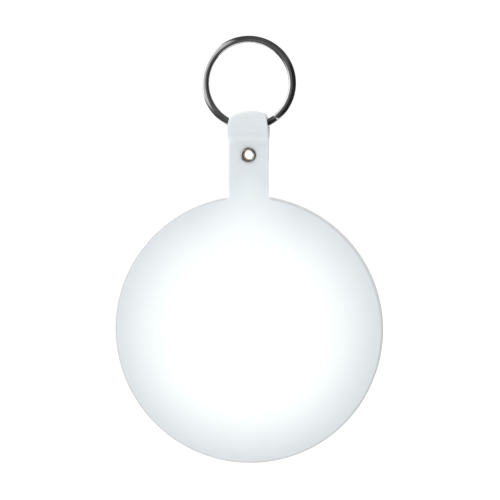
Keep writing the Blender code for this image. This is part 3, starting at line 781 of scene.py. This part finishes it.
for i in range(3):
    middle = math.pi / 2 + math.tau * i / 3
    lug = wedge(skirt_r - SKIRT_THICK / 2, skirt_r + LUG_REACH, middle, LUG_SPAN, door_low.y,
                door_low.y + LUG_TALL)
    cut(door, *lug, f"door_lug_{i}", "UNION")
slot_points = []
for y in (door_high.y - SLOT_DEPTH, door_high.y + MM):
    for side in (1, -1):
        for i in range(SLOT_STEPS + 1):
            turn = side * math.pi / 2 - math.pi * i / SLOT_STEPS
            x = side * (SLOT_LENGTH - SLOT_WIDTH) / 2 + SLOT_WIDTH / 2 * math.cos(turn)
            slot_points.append((x, y, disc_z + SLOT_WIDTH / 2 * math.sin(turn)))
cut(door, slot_points, prism_faces(len(slot_points) // 2), "coin_slot")
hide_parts("battery_door")

black_silicone = moulded("black_silicone", (0.03, 0.03, 0.033), 0.6, 0.10 * MM, 0.2)
seal_low, seal_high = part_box("door_seal")
cord_r = (seal_high.y - seal_low.y) / 2
seal_r = (seal_high.x - seal_low.x) / 2 - cord_r
seal_y = (seal_high.y + seal_low.y) / 2
seal_outline = []
for i in range(SEAL_SIDES):
    turn = math.tau * i / SEAL_SIDES
    seal_outline.append((seal_r + cord_r * math.cos(turn), seal_y + cord_r * math.sin(turn)))
seal = turned("door_ring_seal", seal_outline, "tag", black_silicone, (0, disc_z))
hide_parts("door_seal")


# ---------------------------------------------------------------------------------------------
# Screws. Three thread-forming steel screws with flat cross-slotted heads, zinc plated. They
# pass through the back shell and the board and cut their own thread in the front shell.
HEAD_R = 1.4 * MM
HEAD_TALL = 0.5 * MM
HEAD_CONE = 0.1 * MM            # how much deeper the head is at its middle than at its rim
SHANK_R = 0.8 * MM
THREAD_PITCH = 0.42 * MM
THREAD_DEPTH = 0.14 * MM
THREAD_STEP = 1.01              # pitches from one turn of thread to the next
THREAD_FLANKS = (0.4, 0.7)      # shares of the pitch where the thread rises and where it peaks
PLAIN_SHANK = 0.5 * MM
THREAD_TO_TIP = 1.2 * MM
TIP_TAPER = 0.2 * MM
DRIVE_EDGE = 0.04 * MM
DRIVE_LENGTH = 2.0 * MM
DRIVE_WIDTH = 0.35 * MM
DRIVE_DEPTH = 0.3 * MM

zinc_plate = plated("zinc_plate", (0.58, 0.60, 0.62), (0.66, 0.67, 0.68), 0.22, 0.40, 0.8 * MM)
for i, node in enumerate(screws, 1):
    low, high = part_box(node)
    middle = (low + high) / 2
    under = high.y - HEAD_TALL
    outline = [(0, high.y), (HEAD_R, high.y), (HEAD_R, under + HEAD_CONE), (SHANK_R, under)]
    root_r = SHANK_R - THREAD_DEPTH
    y = under - PLAIN_SHANK
    while y > low.y + THREAD_TO_TIP:
        outline += [(root_r, y), (root_r, y - THREAD_PITCH * THREAD_FLANKS[0]),
                    (SHANK_R, y - THREAD_PITCH * THREAD_FLANKS[1]), (root_r, y - THREAD_PITCH)]
        y -= THREAD_PITCH * THREAD_STEP
    outline += [(SHANK_R * 0.6, low.y + TIP_TAPER), (0, low.y)]
    screw = turned(f"shell_screw_{i}", outline, "tag", zinc_plate, (middle.x, middle.z), 40, 30)
    for across in ((DRIVE_LENGTH, DRIVE_WIDTH), (DRIVE_WIDTH, DRIVE_LENGTH)):
        corner = Vector((across[0] / 2, DRIVE_DEPTH, across[1] / 2))
        top = Vector((middle.x, high.y, middle.z))
        cut(screw, *soft_block(top - corner, top + corner, DRIVE_EDGE), "drive_slot")
    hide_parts(node)


# ---------------------------------------------------------------------------------------------
# Skin tape. A disc of clear double-sided tape, die-cut from a roll and pressed on by hand, holds
# the soft front to the front shell.
TAPE_EDGE = 0.02 * MM

clear_tape, surface = new_finish("clear_tape", (0.85, 0.85, 0.82), 0.3)
tree = clear_tape.node_tree
tint(tree, noise(tree, 4 * MM, 5), (0.80, 0.80, 0.75), (0.90, 0.90, 0.88),
     surface.inputs["Base Color"])
spread(tree, noise(tree, 1.5 * MM), 0.2, 0.45, surface.inputs["Roughness"])
relief(tree, surface, [(noise(tree, 0.6 * MM), 0.02 * MM, 0.4)])
ring_or_disc("tape_disc", "skin_tape", 0, TAPE_EDGE, "tag", clear_tape)


# ---------------------------------------------------------------------------------------------
# Soft front and strap. One moulded sheet of milky vinyl: a crowned disc whose strap runs up,
# folds back over the split ring and ends behind itself, where the eyelet closes it.
SHEET_T = 1.2 * MM
SKIN_T = 1.0 * MM
LAYER_GAP = 0.3 * MM
STRAP_HALF_W = 5.08 * MM
CORNER_FILLET = 0.9 * MM
TAIL_CORNER = 1.6 * MM
FRONT_EDGE_R = 0.6 * MM
BACK_EDGE_R = 0.22 * MM
CROWN_EDGE_LAND = 1.1 * MM      # over which the crown runs out into the flat strap
FLAT_R = 20.3 * MM
BEND_R = 2.8 * MM
FOLD_SAG = 1.15 * MM
FOLD_WAIST = 0.55 * MM
FOLD_THIN = 0.28 * MM
ARC_STEPS = 176
FILLET_STEPS = 6
ACROSS = 20
ROW_PITCH = 0.42 * MM
EYELET_HOLE_R = 1.56 * MM
EYELET_HOLE_REACH = 6 * MM
EYELET_DENT = 0.10 * MM
# Painted light: the vinyl is painted whiter in the middle and up into the strap, partly as the white
# core shows through the milky sheet, partly as a painted pool of light.
PAINTED_LIGHT_R = 19.7 * MM
PAINTED_LIGHT_GONE_R = 32.8 * MM
PAINTED_LIGHT_STRAP_HALF_W = 14.5 * MM
PAINTED_LIGHT_STRAP_REACH = 0.35
PAINTED_BEND_LIGHT_AMOUNT = 0.22
PAINTED_LIGHT_STRAP_FROM = 8 * MM       # above the disc's middle, where the reach to the strap begins
# Painted light: the strap just above the bend, where the fold curves over, is painted lighter
# against its shade.
PAINTED_BEND_LIGHT_SPAN = (0.6 * MM, 1.9 * MM, 2.2 * MM, 3.4 * MM)     # above the bend: in, full, full, out
# Painted shade: the disc's outermost rim is painted darker, except where the strap leaves it.
RIM_SHADE = (0.70 * MM, 0.35 * MM)      # in from the disc's edge
VINYL_PAINTED_RIM_SHADE = (0.56, 0.575, 0.58)
VINYL_BACKED_AND_PAINTED_LIT = (0.935, 0.985, 0.985)
VINYL_ALONE = (0.668, 0.704, 0.723)
WELD_WIDTH = 1.4 * MM           # flat ring on which the two soft sheets are welded
HAIR = 0.02 * MM
LEAVES_DISC = 1.0 * MM          # beyond the disc's edge, where the strap is by itself
SETTLES_FROM = 1.5 * MM
SETTLES_OVER = 2.5 * MM
CROWN_REACH = 8 * MM            # how far beyond the disc its crown can lift the strap
TAIL_BELOW_EYELET = 0.6 * MM
DENT_REACH = 4 * MM
DENT_R = 1.9                    # mm
DENT_WIDTH = 0.7                # mm
CORNER_ROWS = 6
EDGE_STEPS = 5
INNER_LOOPS = 6
CROWN_LOOPS = [30, 28, 26, 24, 22, 20.3, 18, 14, 9, 4]      # mm
UNBENT = "place_unbent"

loop_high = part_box("strap_loop")[1]
front_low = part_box("front_skin")[0]
joints = {joint["name"]: joint for joint in frame["joints"]}
wire_z = joints["ring_swing"]["pos_m"][2]
eyelet_low, eyelet_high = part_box("eyelet")
eyelet_z = (eyelet_low.z + eyelet_high.z) / 2
crown_h = -front_low.y
rim_half = SHEET_T + LAYER_GAP / 2
layer_mid = (SHEET_T + LAYER_GAP) / 2
loop_mid_r = loop_high.z - wire_z - SHEET_T / 2
loop_drop = math.sqrt((loop_mid_r + BEND_R) ** 2 - (layer_mid + BEND_R) ** 2)
bend_z = wire_z - loop_drop
bend_turn = math.atan2(loop_drop, layer_mid + BEND_R)
half_loop = math.pi / 2 + bend_turn
tail_z = eyelet_low.z - TAIL_BELOW_EYELET

lengths = [bend_z - disc_z, BEND_R * bend_turn, 2 * half_loop * loop_mid_r, BEND_R * bend_turn,
           bend_z - tail_z]
sheet_end = sum(lengths)


def strap_path(run):
    """Middle of the sheet at a run from the disc's centre: (y, z), outward (y, z), bend angle."""
    if run <= lengths[0]:
        return (-layer_mid, disc_z + run), (-1, 0), None
    run -= lengths[0]
    if run <= lengths[1]:
        turn = run / BEND_R
        centre = (-layer_mid - BEND_R, bend_z)
        way = (math.cos(turn), math.sin(turn))
        return (centre[0] + BEND_R * way[0], centre[1] + BEND_R * way[1]), (-way[0], -way[1]), None
    run -= lengths[1]
    if run <= lengths[2]:
        turn = run / loop_mid_r - half_loop
        way = (math.sin(turn), math.cos(turn))
        return (loop_mid_r * way[0], wire_z + loop_mid_r * way[1]), way, turn
    run -= lengths[2]
    if run <= lengths[3]:
        turn = bend_turn - run / BEND_R
        centre = (layer_mid + BEND_R, bend_z)
        way = (-math.cos(turn), math.sin(turn))
        return (centre[0] + BEND_R * way[0], centre[1] + BEND_R * way[1]), (-way[0], -way[1]), None
    run -= lengths[3]
    return (layer_mid, bend_z - run), (1, 0), None


def smooth_max(a, b, blend):
    """The larger of two heights, with a rounded change from one to the other."""
    share = max(blend - abs(a - b), 0) / blend
    return max(a, b) + share * share * blend / 4


def crown(x, up):
    """Height of the soft front above the middle plane."""
    reach = math.hypot(x, up)
    share = max(reach - FLAT_R, 0) / (disc_r - FLAT_R)
    return smooth_max(crown_h - (crown_h - rim_half) * share ** 2, rim_half, CROWN_EDGE_LAND)


def inner_crown(x, up):
    """Height of the hollow behind the soft front."""
    reach = math.hypot(x, up)
    share = max(reach - FLAT_R, 0) / (disc_r - WELD_WIDTH - FLAT_R)
    return max(crown_h - SKIN_T - (crown_h - SKIN_T) * share ** 2, HAIR)


def fold_share(turn):
    """How much of the fold's sag and thinning there is: 1 at its top, 0 off it."""
    return max(math.cos(turn), 0) ** 1.5 if turn is not None else 0


def sheet_point(x, run, depth):
    """Place a point of the flat sheet: depth is 0 on its outside and 1 on its inside."""
    if run <= disc_r + LEAVES_DISC:
        outside = crown(x, run)
        settle = min(max((run - disc_r + SETTLES_FROM) / SETTLES_OVER, 0), 1)
        on_strap = abs(x) < STRAP_HALF_W + CORNER_FILLET and run > 0
        inside = inner_crown(x, run) + (settle * LAYER_GAP / 2 if on_strap else 0)
        return Vector((x, -outside + (outside - inside) * depth, disc_z + run))
    (y, z), (out_y, out_z), turn = strap_path(run)
    fold = fold_share(turn)
    edge = min(abs(x) / STRAP_HALF_W, 1)
    thick = SHEET_T - FOLD_THIN * fold * edge ** 2
    offset = SHEET_T / 2 - thick * depth
    if abs(z - eyelet_z) < DENT_REACH and turn is None:
        reach = math.hypot(x, z - eyelet_z) / MM
        offset -= EYELET_DENT * math.exp(-((reach - DENT_R) / DENT_WIDTH) ** 2) * (1 - depth)
    lift = smooth_max(crown(x, run) - rim_half, 0, HAIR) if run < disc_r + CROWN_REACH else 0
    sag = FOLD_SAG * fold * edge ** 2.4
    return Vector((x, y + out_y * (offset + lift * (1 - depth)), z + out_z * offset - sag))


def strap_half(run):
    """Half the strap's width at a run, narrower where it goes over the ring."""
    turn = strap_path(run)[2]
    return STRAP_HALF_W - FOLD_WAIST * fold_share(turn)


first_row = math.sqrt((disc_r + CORNER_FILLET) ** 2 - (STRAP_HALF_W + CORNER_FILLET) ** 2)
row_count = round((sheet_end - TAIL_CORNER - first_row) / ROW_PITCH)


def strap_rows(inset):
    """Half width and run of each row across the strap, for an outline moved in by an inset."""
    rows = []
    last = sheet_end - TAIL_CORNER
    for i in range(row_count + 1):
        run = first_row + (last - first_row) * i / row_count
        rows.append((strap_half(run) - inset, run))
    corner = TAIL_CORNER - inset
    for i in range(1, CORNER_ROWS + 1):
        turn = math.pi / 2 * i / CORNER_ROWS
        rows.append((STRAP_HALF_W - TAIL_CORNER + corner * math.cos(turn),
                     last + corner * math.sin(turn)))
    return rows


def disc_outline(inset):
    """From the right of the strap round the disc to the left of it, with both small fillets."""
    centre = Vector((STRAP_HALF_W + CORNER_FILLET, first_row))
    meet = math.atan2(centre.y, centre.x)
    fillet = []
    for i in range(FILLET_STEPS + 1):
        turn = math.pi + meet * i / FILLET_STEPS
        fillet.append(centre + (CORNER_FILLET + inset) * Vector((math.cos(turn), math.sin(turn))))
    around = []
    for i in range(1, ARC_STEPS):
        sweep = meet - (math.pi + 2 * meet) * i / ARC_STEPS
        around.append((disc_r - inset) * Vector((math.cos(sweep), math.sin(sweep))))
    mirrored = [Vector((-p.x, p.y)) for p in fillet[::-1]]
    return fillet + around + mirrored


edge_profile = []
for i in range(EDGE_STEPS + 1):
    turn = math.pi / 2 * i / EDGE_STEPS
    edge_profile.append((BACK_EDGE_R * (1 - math.sin(turn)),
                         1 - BACK_EDGE_R * (1 - math.cos(turn)) / SHEET_T))
for i in range(EDGE_STEPS, -1, -1):
    turn = math.pi / 2 * i / EDGE_STEPS
    edge_profile.append((FRONT_EDGE_R * (1 - math.sin(turn)),
                         FRONT_EDGE_R * (1 - math.cos(turn)) / SHEET_T))

sheet_points = []
sheet_faces = []


def add_points(found):
    """Add points to the sheet and return their numbers."""
    start = len(sheet_points)
    sheet_points.extend(found)
    return list(range(start, len(sheet_points)))


def join_rows(first, second, closed=False):
    """Join two rows of points with four-sided faces."""
    count = len(first) if closed else len(first) - 1
    for i in range(count):
        after = (i + 1) % len(first)
        sheet_faces.append((first[i], first[after], second[after], second[i]))


def outline_loop(inset, depth):
    """The whole edge: disc and fillets, up the left side, across the tail, down the right."""
    rows = strap_rows(inset)
    disc = disc_outline(inset)
    left = [Vector((-half, run)) for half, run in rows[1:]]
    across = [Vector((rows[-1][0] * (2 * i / ACROSS - 1), rows[-1][1])) for i in range(1, ACROSS)]
    right = [Vector((half, run)) for half, run in rows[:0:-1]]
    return [sheet_point(p.x, p.y, depth) for p in disc + left + across + right]


loops = [add_points(outline_loop(inset, depth)) for inset, depth in edge_profile]
for first, second in zip(loops, loops[1:]):
    join_rows(first, second, closed=True)

disc_count = 2 * (FILLET_STEPS + 1) + ARC_STEPS - 1


def fill_face(loop, inset, depth):
    """Fill one face of the sheet inside its rounded edge: the strap's grid, then the disc."""
    rows = strap_rows(inset)
    left_end = disc_count + len(rows) - 1
    left = loop[disc_count - 1:left_end]
    end_across = loop[left_end:left_end + ACROSS - 1]
    right = [loop[0]] + loop[:-len(rows):-1]
    grid = []
    for j, (half, run) in enumerate(rows[:-1]):
        middle = [sheet_point(half * (2 * i / ACROSS - 1), run, depth) for i in range(1, ACROSS)]
        grid.append([left[j]] + add_points(middle) + [right[j]])
    grid.append([left[-1]] + end_across + [right[-1]])
    for first, second in zip(grid, grid[1:]):
        join_rows(first, second)
    ring = loop[:disc_count] + grid[0][1:-1]
    flat = disc_outline(inset)
    flat += [Vector((rows[0][0] * (2 * i / ACROSS - 1), rows[0][1])) for i in range(1, ACROSS)]
    radius = CROWN_LOOPS[0] * MM
    circle = []
    for p in flat:
        turn = math.atan2(p.y, p.x)
        circle.append(radius * Vector((math.cos(turn), math.sin(turn))))
    before = ring
    for k in range(1, INNER_LOOPS + 1):
        share = k / INNER_LOOPS
        mixed = [p.lerp(c, share) for p, c in zip(flat, circle)]
        after = add_points([sheet_point(p.x, p.y, depth) for p in mixed])
        join_rows(before, after, closed=True)
        before = after
    for reach in CROWN_LOOPS[1:]:
        scaled = [c * (reach / CROWN_LOOPS[0]) for c in circle]
        after = add_points([sheet_point(p.x, p.y, depth) for p in scaled])
        join_rows(before, after, closed=True)
        before = after
    sheet_faces.append(tuple(before))


fill_face(loops[-1], *edge_profile[-1])
fill_face(loops[0], *edge_profile[0])


def vinyl(name, lit_middle, alone, kept=None):
    """Milky satin vinyl, whiter over the white core and greyer where there is nothing behind it:
    partly the core showing through, partly a painted pool of light in the middle.

    The painted white reaches further up towards the strap, the strap just above its bend is painted
    lighter against the fold's shade, and a painted shade darkens the disc's rim."""
    made, surface = new_finish(name, (0.7, 0.72, 0.74), 0.42)
    tree = made.node_tree
    parts = tree.nodes.new("ShaderNodeSeparateXYZ")
    tree.links.new(places(tree, kept), parts.inputs["Vector"])
    # Painted pool of light: whiter within the core's radius and further up towards the strap, greyer
    # towards the rim.
    from_middle = away_from(tree, 0, disc_z, kept)
    beside = arithmetic(tree, "ABSOLUTE", parts.outputs["X"], 0.0)
    near_strap = fade_between(tree, beside, 0.0, PAINTED_LIGHT_STRAP_HALF_W, PAINTED_LIGHT_STRAP_REACH, 0.0)
    above = fade_between(tree, parts.outputs["Z"], disc_z + PAINTED_LIGHT_STRAP_FROM, disc_z + PAINTED_LIGHT_R)
    stretch = arithmetic(tree, "MULTIPLY", near_strap, above)
    past_core = arithmetic(tree, "SUBTRACT", from_middle, PAINTED_LIGHT_R)
    nearer = arithmetic(tree, "MULTIPLY", past_core, arithmetic(tree, "SUBTRACT", 1.0, stretch))
    from_core = tree.nodes.new("ShaderNodeMapRange")
    from_core.inputs["From Max"].default_value = PAINTED_LIGHT_GONE_R - PAINTED_LIGHT_R
    tree.links.new(nearer, from_core.inputs["Value"])
    # Painted light over the bend of the fold, against the shade of its curve.
    starts, full, still_full, ends = [bend_z + up for up in PAINTED_BEND_LIGHT_SPAN]
    fades_in = fade_between(tree, parts.outputs["Z"], starts, full)
    fades_out = fade_between(tree, parts.outputs["Z"], still_full, ends, 1.0, 0.0)
    painted_bend_light = arithmetic(tree, "MULTIPLY", fades_in, fades_out)
    painted_bend_light = arithmetic(tree, "MULTIPLY", painted_bend_light, PAINTED_BEND_LIGHT_AMOUNT)
    greyness = arithmetic(tree, "SUBTRACT", from_core.outputs["Result"], painted_bend_light)
    colour_with_painted_light = tint(tree, greyness, lit_middle, alone)
    # Painted shade on the disc's rounded rim, left off where the strap runs out of the disc.
    at_rim = fade_between(tree, from_middle, disc_r - RIM_SHADE[0], disc_r - RIM_SHADE[1])
    strap_side = fade_between(tree, beside, STRAP_HALF_W, STRAP_HALF_W + CORNER_FILLET, 1.0, 0.0)
    on_strap = arithmetic(tree, "MULTIPLY", strap_side, above)
    painted_rim_shade = arithmetic(tree, "MULTIPLY", at_rim, arithmetic(tree, "SUBTRACT", 1.0, on_strap))
    tint(tree, painted_rim_shade, colour_with_painted_light, VINYL_PAINTED_RIM_SHADE, surface.inputs["Base Color"])
    spread(tree, noise(tree, 6 * MM, kept=kept), 0.38, 0.48, surface.inputs["Roughness"])
    relief(tree, surface, [(noise(tree, 0.22 * MM, 2, kept=kept), 0.010 * MM, 0.25),
                           (noise(tree, 5 * MM, 2, kept=kept), 0.06 * MM, 0.12)])
    surface.inputs["Specular IOR Level"].default_value = 0.2
    surface.inputs["Subsurface Weight"].default_value = 0.45
    surface.inputs["Subsurface Radius"].default_value = (1.0, 1.05, 1.1)
    surface.inputs["Subsurface Scale"].default_value = 1.2 * MM
    return made


soft_front_vinyl = vinyl("milky_vinyl_front", VINYL_BACKED_AND_PAINTED_LIT, VINYL_ALONE, UNBENT)
soft_front = mesh_piece("soft_front_and_strap", sheet_points, sheet_faces, None, soft_front_vinyl)
hole = rod(0, eyelet_z, EYELET_HOLE_R, -EYELET_HOLE_REACH, EYELET_HOLE_REACH, 48)
cut(soft_front, *hole, "eyelet_hole")
kept_places = soft_front.data.attributes.new(UNBENT, "FLOAT_VECTOR", "POINT")
unbent = [c for point in soft_front.data.vertices for c in point.co]
kept_places.data.foreach_set("vector", unbent)
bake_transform(soft_front)
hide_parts("front_skin", "strap_loop")


# ---------------------------------------------------------------------------------------------
# Soft back. A second moulded vinyl sheet, welded to the front round the rim, with a rolled lip
# round the battery door.
# The back's middle colour, which gets the same painted lighter middle and painted darker rim as the
# front.
VINYL_BACK_PAINTED_LIT_MIDDLE = (0.83, 0.85, 0.86)
WELD_GROOVE = 0.16 * MM
BACK_HOLE_ROOM = 1.6 * MM       # between the battery door and the edge of the opening
CROWN_STEPS = 22
BACK_EDGE_STEPS = 6
WELD_STEPS = 5
HOLLOW_STEPS = 8
LIP_STEPS = 12
LIP_PROUD = 0.05 * MM
LIP_R = SKIN_T / 2 + LIP_PROUD
LIP_FOOT = [(0.5 * MM, 0.06 * MM), (0.9 * MM, 0)]   # out from the lip, down from the back

back_hole_r = door_r + BACK_HOLE_ROOM
back_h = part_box("back_skin")[1].y
back_outer = []
for i in range(CROWN_STEPS + 1):
    radius = FLAT_R + (disc_r - FRONT_EDGE_R - FLAT_R) * i / CROWN_STEPS
    share = (radius - FLAT_R) / (disc_r - FLAT_R)
    height = smooth_max(back_h - (back_h - rim_half) * share ** 2, rim_half, CROWN_EDGE_LAND)
    back_outer.append((radius, height))
edge_height = back_outer[-1][1]
back_edge = []
for i in range(1, BACK_EDGE_STEPS + 1):
    turn = math.pi / 2 * i / BACK_EDGE_STEPS
    back_edge.append((disc_r - FRONT_EDGE_R + FRONT_EDGE_R * math.sin(turn),
                      edge_height - FRONT_EDGE_R * (1 - math.cos(turn))))
weld = []
for i in range(WELD_STEPS + 1):
    turn = math.pi / 2 * i / WELD_STEPS
    weld.append((disc_r - WELD_GROOVE * (1 - math.cos(turn)),
                 HAIR + WELD_GROOVE * (1 - math.sin(turn))))
back_inner = []
for i in range(HOLLOW_STEPS + 1):
    share = 1 - i / HOLLOW_STEPS
    radius = FLAT_R + (disc_r - WELD_WIDTH - FLAT_R) * share
    back_inner.append((radius, max((back_h - SKIN_T) * (1 - share ** 2), HAIR)))
lip = []
for i in range(LIP_STEPS + 1):
    turn = -math.pi / 2 + math.pi * i / LIP_STEPS
    lip.append((back_hole_r + LIP_R - LIP_R * math.cos(turn),
                back_h - SKIN_T / 2 + LIP_R * math.sin(turn) - LIP_PROUD))
lip_foot = [(back_hole_r + LIP_R + out, back_h - down) for out, down in LIP_FOOT]
back_profile = lip + lip_foot + back_outer + back_edge + weld + back_inner
soft_back_vinyl = vinyl("milky_vinyl_back", VINYL_BACK_PAINTED_LIT_MIDDLE, VINYL_ALONE)
soft_back = turned("soft_back", back_profile, "tag", soft_back_vinyl, (0, disc_z))
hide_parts("back_skin")


# ---------------------------------------------------------------------------------------------
# Split ring. Two turns of flattened spring-steel wire, cut off square at both ends, with one
# kink where the wire steps from the front turn to the back turn. Bright nickel plating.
RING_WIRE_WIDE = 1.8 * MM
RING_WIRE_DEEP = 0.85 * MM
RING_COIL_GAP = 0.12 * MM
RING_START = math.radians(-52)
RING_STEP = math.radians(26)
RING_END_ROOM = math.radians(3)
RING_STATIONS = 300
RING_SIDES = 28
RING_SKEW = 0.35                # how far the wire is thicker towards the middle of the ring
RING_CUT_BEVEL = 0.12 * MM
RING_SHARP_ANGLE = 50

ring_low, ring_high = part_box("split_ring")
ring_z = (ring_low.z + ring_high.z) / 2
ring_mid_r = (ring_high.x - ring_low.x) / 2 - RING_WIRE_WIDE / 2


def wire_section(shrink):
    """Points round the flattened wire: (outwards, forwards)."""
    half_w = RING_WIRE_WIDE / 2 - shrink
    half_d = RING_WIRE_DEEP / 2 - shrink
    turns = [math.tau * k / RING_SIDES for k in range(RING_SIDES)]
    return [(half_w * math.cos(a), half_d * math.sin(a) * (1 - RING_SKEW * math.cos(a)))
            for a in turns]


bright_nickel, surface = new_finish("bright_nickel", (0.60, 0.60, 0.61), 0.14, 1.0)
tree = bright_nickel.node_tree
lines = drawn_lines(tree, away_from(tree, 0, ring_z), 0.05 * MM)
smears = noise(tree, 2.5 * MM, 4)
tint(tree, smears, (0.50, 0.50, 0.51), (0.70, 0.70, 0.71), surface.inputs["Base Color"])
spread(tree, smears, 0.05, 0.14, surface.inputs["Roughness"])
relief(tree, surface, [(lines, 0.003 * MM, 0.4), (noise(tree, 0.5 * MM), 0.006 * MM, 0.25)])

ring_points = []
ring_length = 2 * math.tau - RING_STEP - RING_END_ROOM
ring_layer = (RING_WIRE_DEEP + RING_COIL_GAP) / 2
bevel_turn = RING_CUT_BEVEL / ring_mid_r
runs = [0] + [bevel_turn + (ring_length - 2 * bevel_turn) * i / RING_STATIONS
              for i in range(RING_STATIONS + 1)] + [ring_length]
for i, run in enumerate(runs):
    stepped = min(max((run - math.tau + RING_STEP) / RING_STEP, 0), 1)
    forwards = -ring_layer * math.cos(math.pi * stepped)
    angle = RING_START + run
    end = i in (0, len(runs) - 1)
    for out, deep in wire_section(RING_CUT_BEVEL if end else 0):
        radius = ring_mid_r + out
        ring_points.append((radius * math.cos(angle), forwards + deep,
                            ring_z + radius * math.sin(angle)))
split_ring = mesh_piece("split_ring_wire", ring_points, tube_faces(len(runs), RING_SIDES),
                        "ring", bright_nickel, RING_SHARP_ANGLE)
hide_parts("split_ring")


# ---------------------------------------------------------------------------------------------
# Eyelet. A drawn brass tube pushed through both layers of the strap. Its rolled head is
# nickel plated, its bore is bare brass, and its split tail is rolled over a brass washer.
EYELET_BORE_R = 1.17 * MM
EYELET_HEAD_R = 2.0 * MM
EYELET_WALL = 0.3 * MM
HEAD_HEIGHT = 0.95              # as a share of a full half circle
HEAD_STEPS = 14
PLATING = (1.20 * MM, 1.34 * MM)        # radii over which bare brass turns to nickel
TAIL_ROLL = 0.32 * MM
TAIL_HEIGHT = 0.8               # as a share of a full half circle
TAIL_BACK = 0.45 * MM           # from the strap's back to where the tail starts to roll
TAIL_OUT = 0.06 * MM
TAIL_STEPS = 8
TAIL_FOOT = 0.02 * MM
TAIL_LIP = 0.05 * MM
PETALS = 6
PETAL_NOTCH = 0.10 * MM
PETAL_PINCH = 0.05
PETAL_GAP = 0.004               # how wide each notch is, as a spread of one petal squared
TURNED_STEPS = 96
WASHER_ROOM = 0.1 * MM
WASHER_SEAT = 0.02 * MM
WASHER_TOP = 0.38 * MM
WASHER_EDGE = 0.08 * MM
WASHER_RIM = [(2.02 * MM, WASHER_SEAT), (2.10 * MM, 0.16 * MM), (1.95 * MM, 0.34 * MM)]

face = rim_half - EYELET_DENT
nickel_and_brass, surface = new_finish("nickel_over_brass", (0.5, 0.49, 0.47), 0.2, 1.0)
tree = nickel_and_brass.node_tree
from_axis = away_from(tree, 0, eyelet_z)
nickel_share = tree.nodes.new("ShaderNodeMapRange")
nickel_share.inputs["From Min"].default_value = PLATING[0]
nickel_share.inputs["From Max"].default_value = PLATING[1]
tree.links.new(from_axis, nickel_share.inputs["Value"])
tint(tree, nickel_share.outputs["Result"], (0.72, 0.50, 0.22), (0.52, 0.50, 0.47),
     surface.inputs["Base Color"])
spread(tree, noise(tree, 0.5 * MM), 0.14, 0.32, surface.inputs["Roughness"])
relief(tree, surface, [(drawn_lines(tree, from_axis, 0.04 * MM), 0.004 * MM, 0.4),
                       (noise(tree, 0.15 * MM), 0.006 * MM, 0.25)])

roll_r = (EYELET_HEAD_R - EYELET_BORE_R) / 2
head_mid = (EYELET_HEAD_R + EYELET_BORE_R) / 2
head = []
for i in range(HEAD_STEPS + 1):
    turn = math.pi * i / HEAD_STEPS
    head.append((head_mid - roll_r * math.cos(turn),
                 -face - roll_r * HEAD_HEIGHT * math.sin(turn)))
barrel_r = EYELET_BORE_R + EYELET_WALL
tail_y = face + TAIL_BACK
tail = []
for i in range(TAIL_STEPS + 1):
    turn = math.pi * i / TAIL_STEPS
    tail.append((barrel_r + TAIL_OUT - TAIL_ROLL * math.cos(turn) + TAIL_ROLL / 2,
                 tail_y + TAIL_ROLL * TAIL_HEIGHT * math.sin(turn)))
eyelet_profile = head + [(barrel_r, -face), (barrel_r, tail_y - TAIL_FOOT)] + tail[::-1]
eyelet_profile += [(EYELET_BORE_R, tail_y - TAIL_LIP)]
eyelet = turned("eyelet_rolled", eyelet_profile, "strap", nickel_and_brass, (0, eyelet_z),
                TURNED_STEPS)
for vertex in eyelet.data.vertices:
    if vertex.co.y > tail_y - TAIL_FOOT / 2:
        flat = Vector((vertex.co.x, vertex.co.z - eyelet_z))
        turn = math.atan2(flat.y, flat.x)
        split = math.exp(-((PETALS * turn / math.tau) % 1 - 0.5) ** 2 / PETAL_GAP)
        if flat.length > barrel_r:
            vertex.co.y -= PETAL_NOTCH * split
            flat *= 1 - PETAL_PINCH * split
            vertex.co.x = flat.x
            vertex.co.z = eyelet_z + flat.y
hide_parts("eyelet")

bare_brass, surface = new_finish("bare_brass", (0.62, 0.46, 0.22), 0.3, 1.0)
tree = bare_brass.node_tree
tint(tree, noise(tree, 0.8 * MM, 4), (0.50, 0.36, 0.16), (0.70, 0.53, 0.27),
     surface.inputs["Base Color"])
spread(tree, noise(tree, 0.4 * MM), 0.22, 0.42, surface.inputs["Roughness"])
relief(tree, surface, [(drawn_lines(tree, away_from(tree, 0, eyelet_z), 0.05 * MM),
                        0.005 * MM, 0.4)])
washer_hole_r = barrel_r + WASHER_ROOM
washer_outline = [(washer_hole_r, face + WASHER_SEAT)]
washer_outline += [(radius, face + back) for radius, back in WASHER_RIM]
washer_outline += [(washer_hole_r, face + WASHER_TOP)]
washer = turned("eyelet_back_washer", rounded(washer_outline, WASHER_EDGE), "strap", bare_brass,
                (0, eyelet_z), TURNED_STEPS)
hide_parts("eyelet_washer")
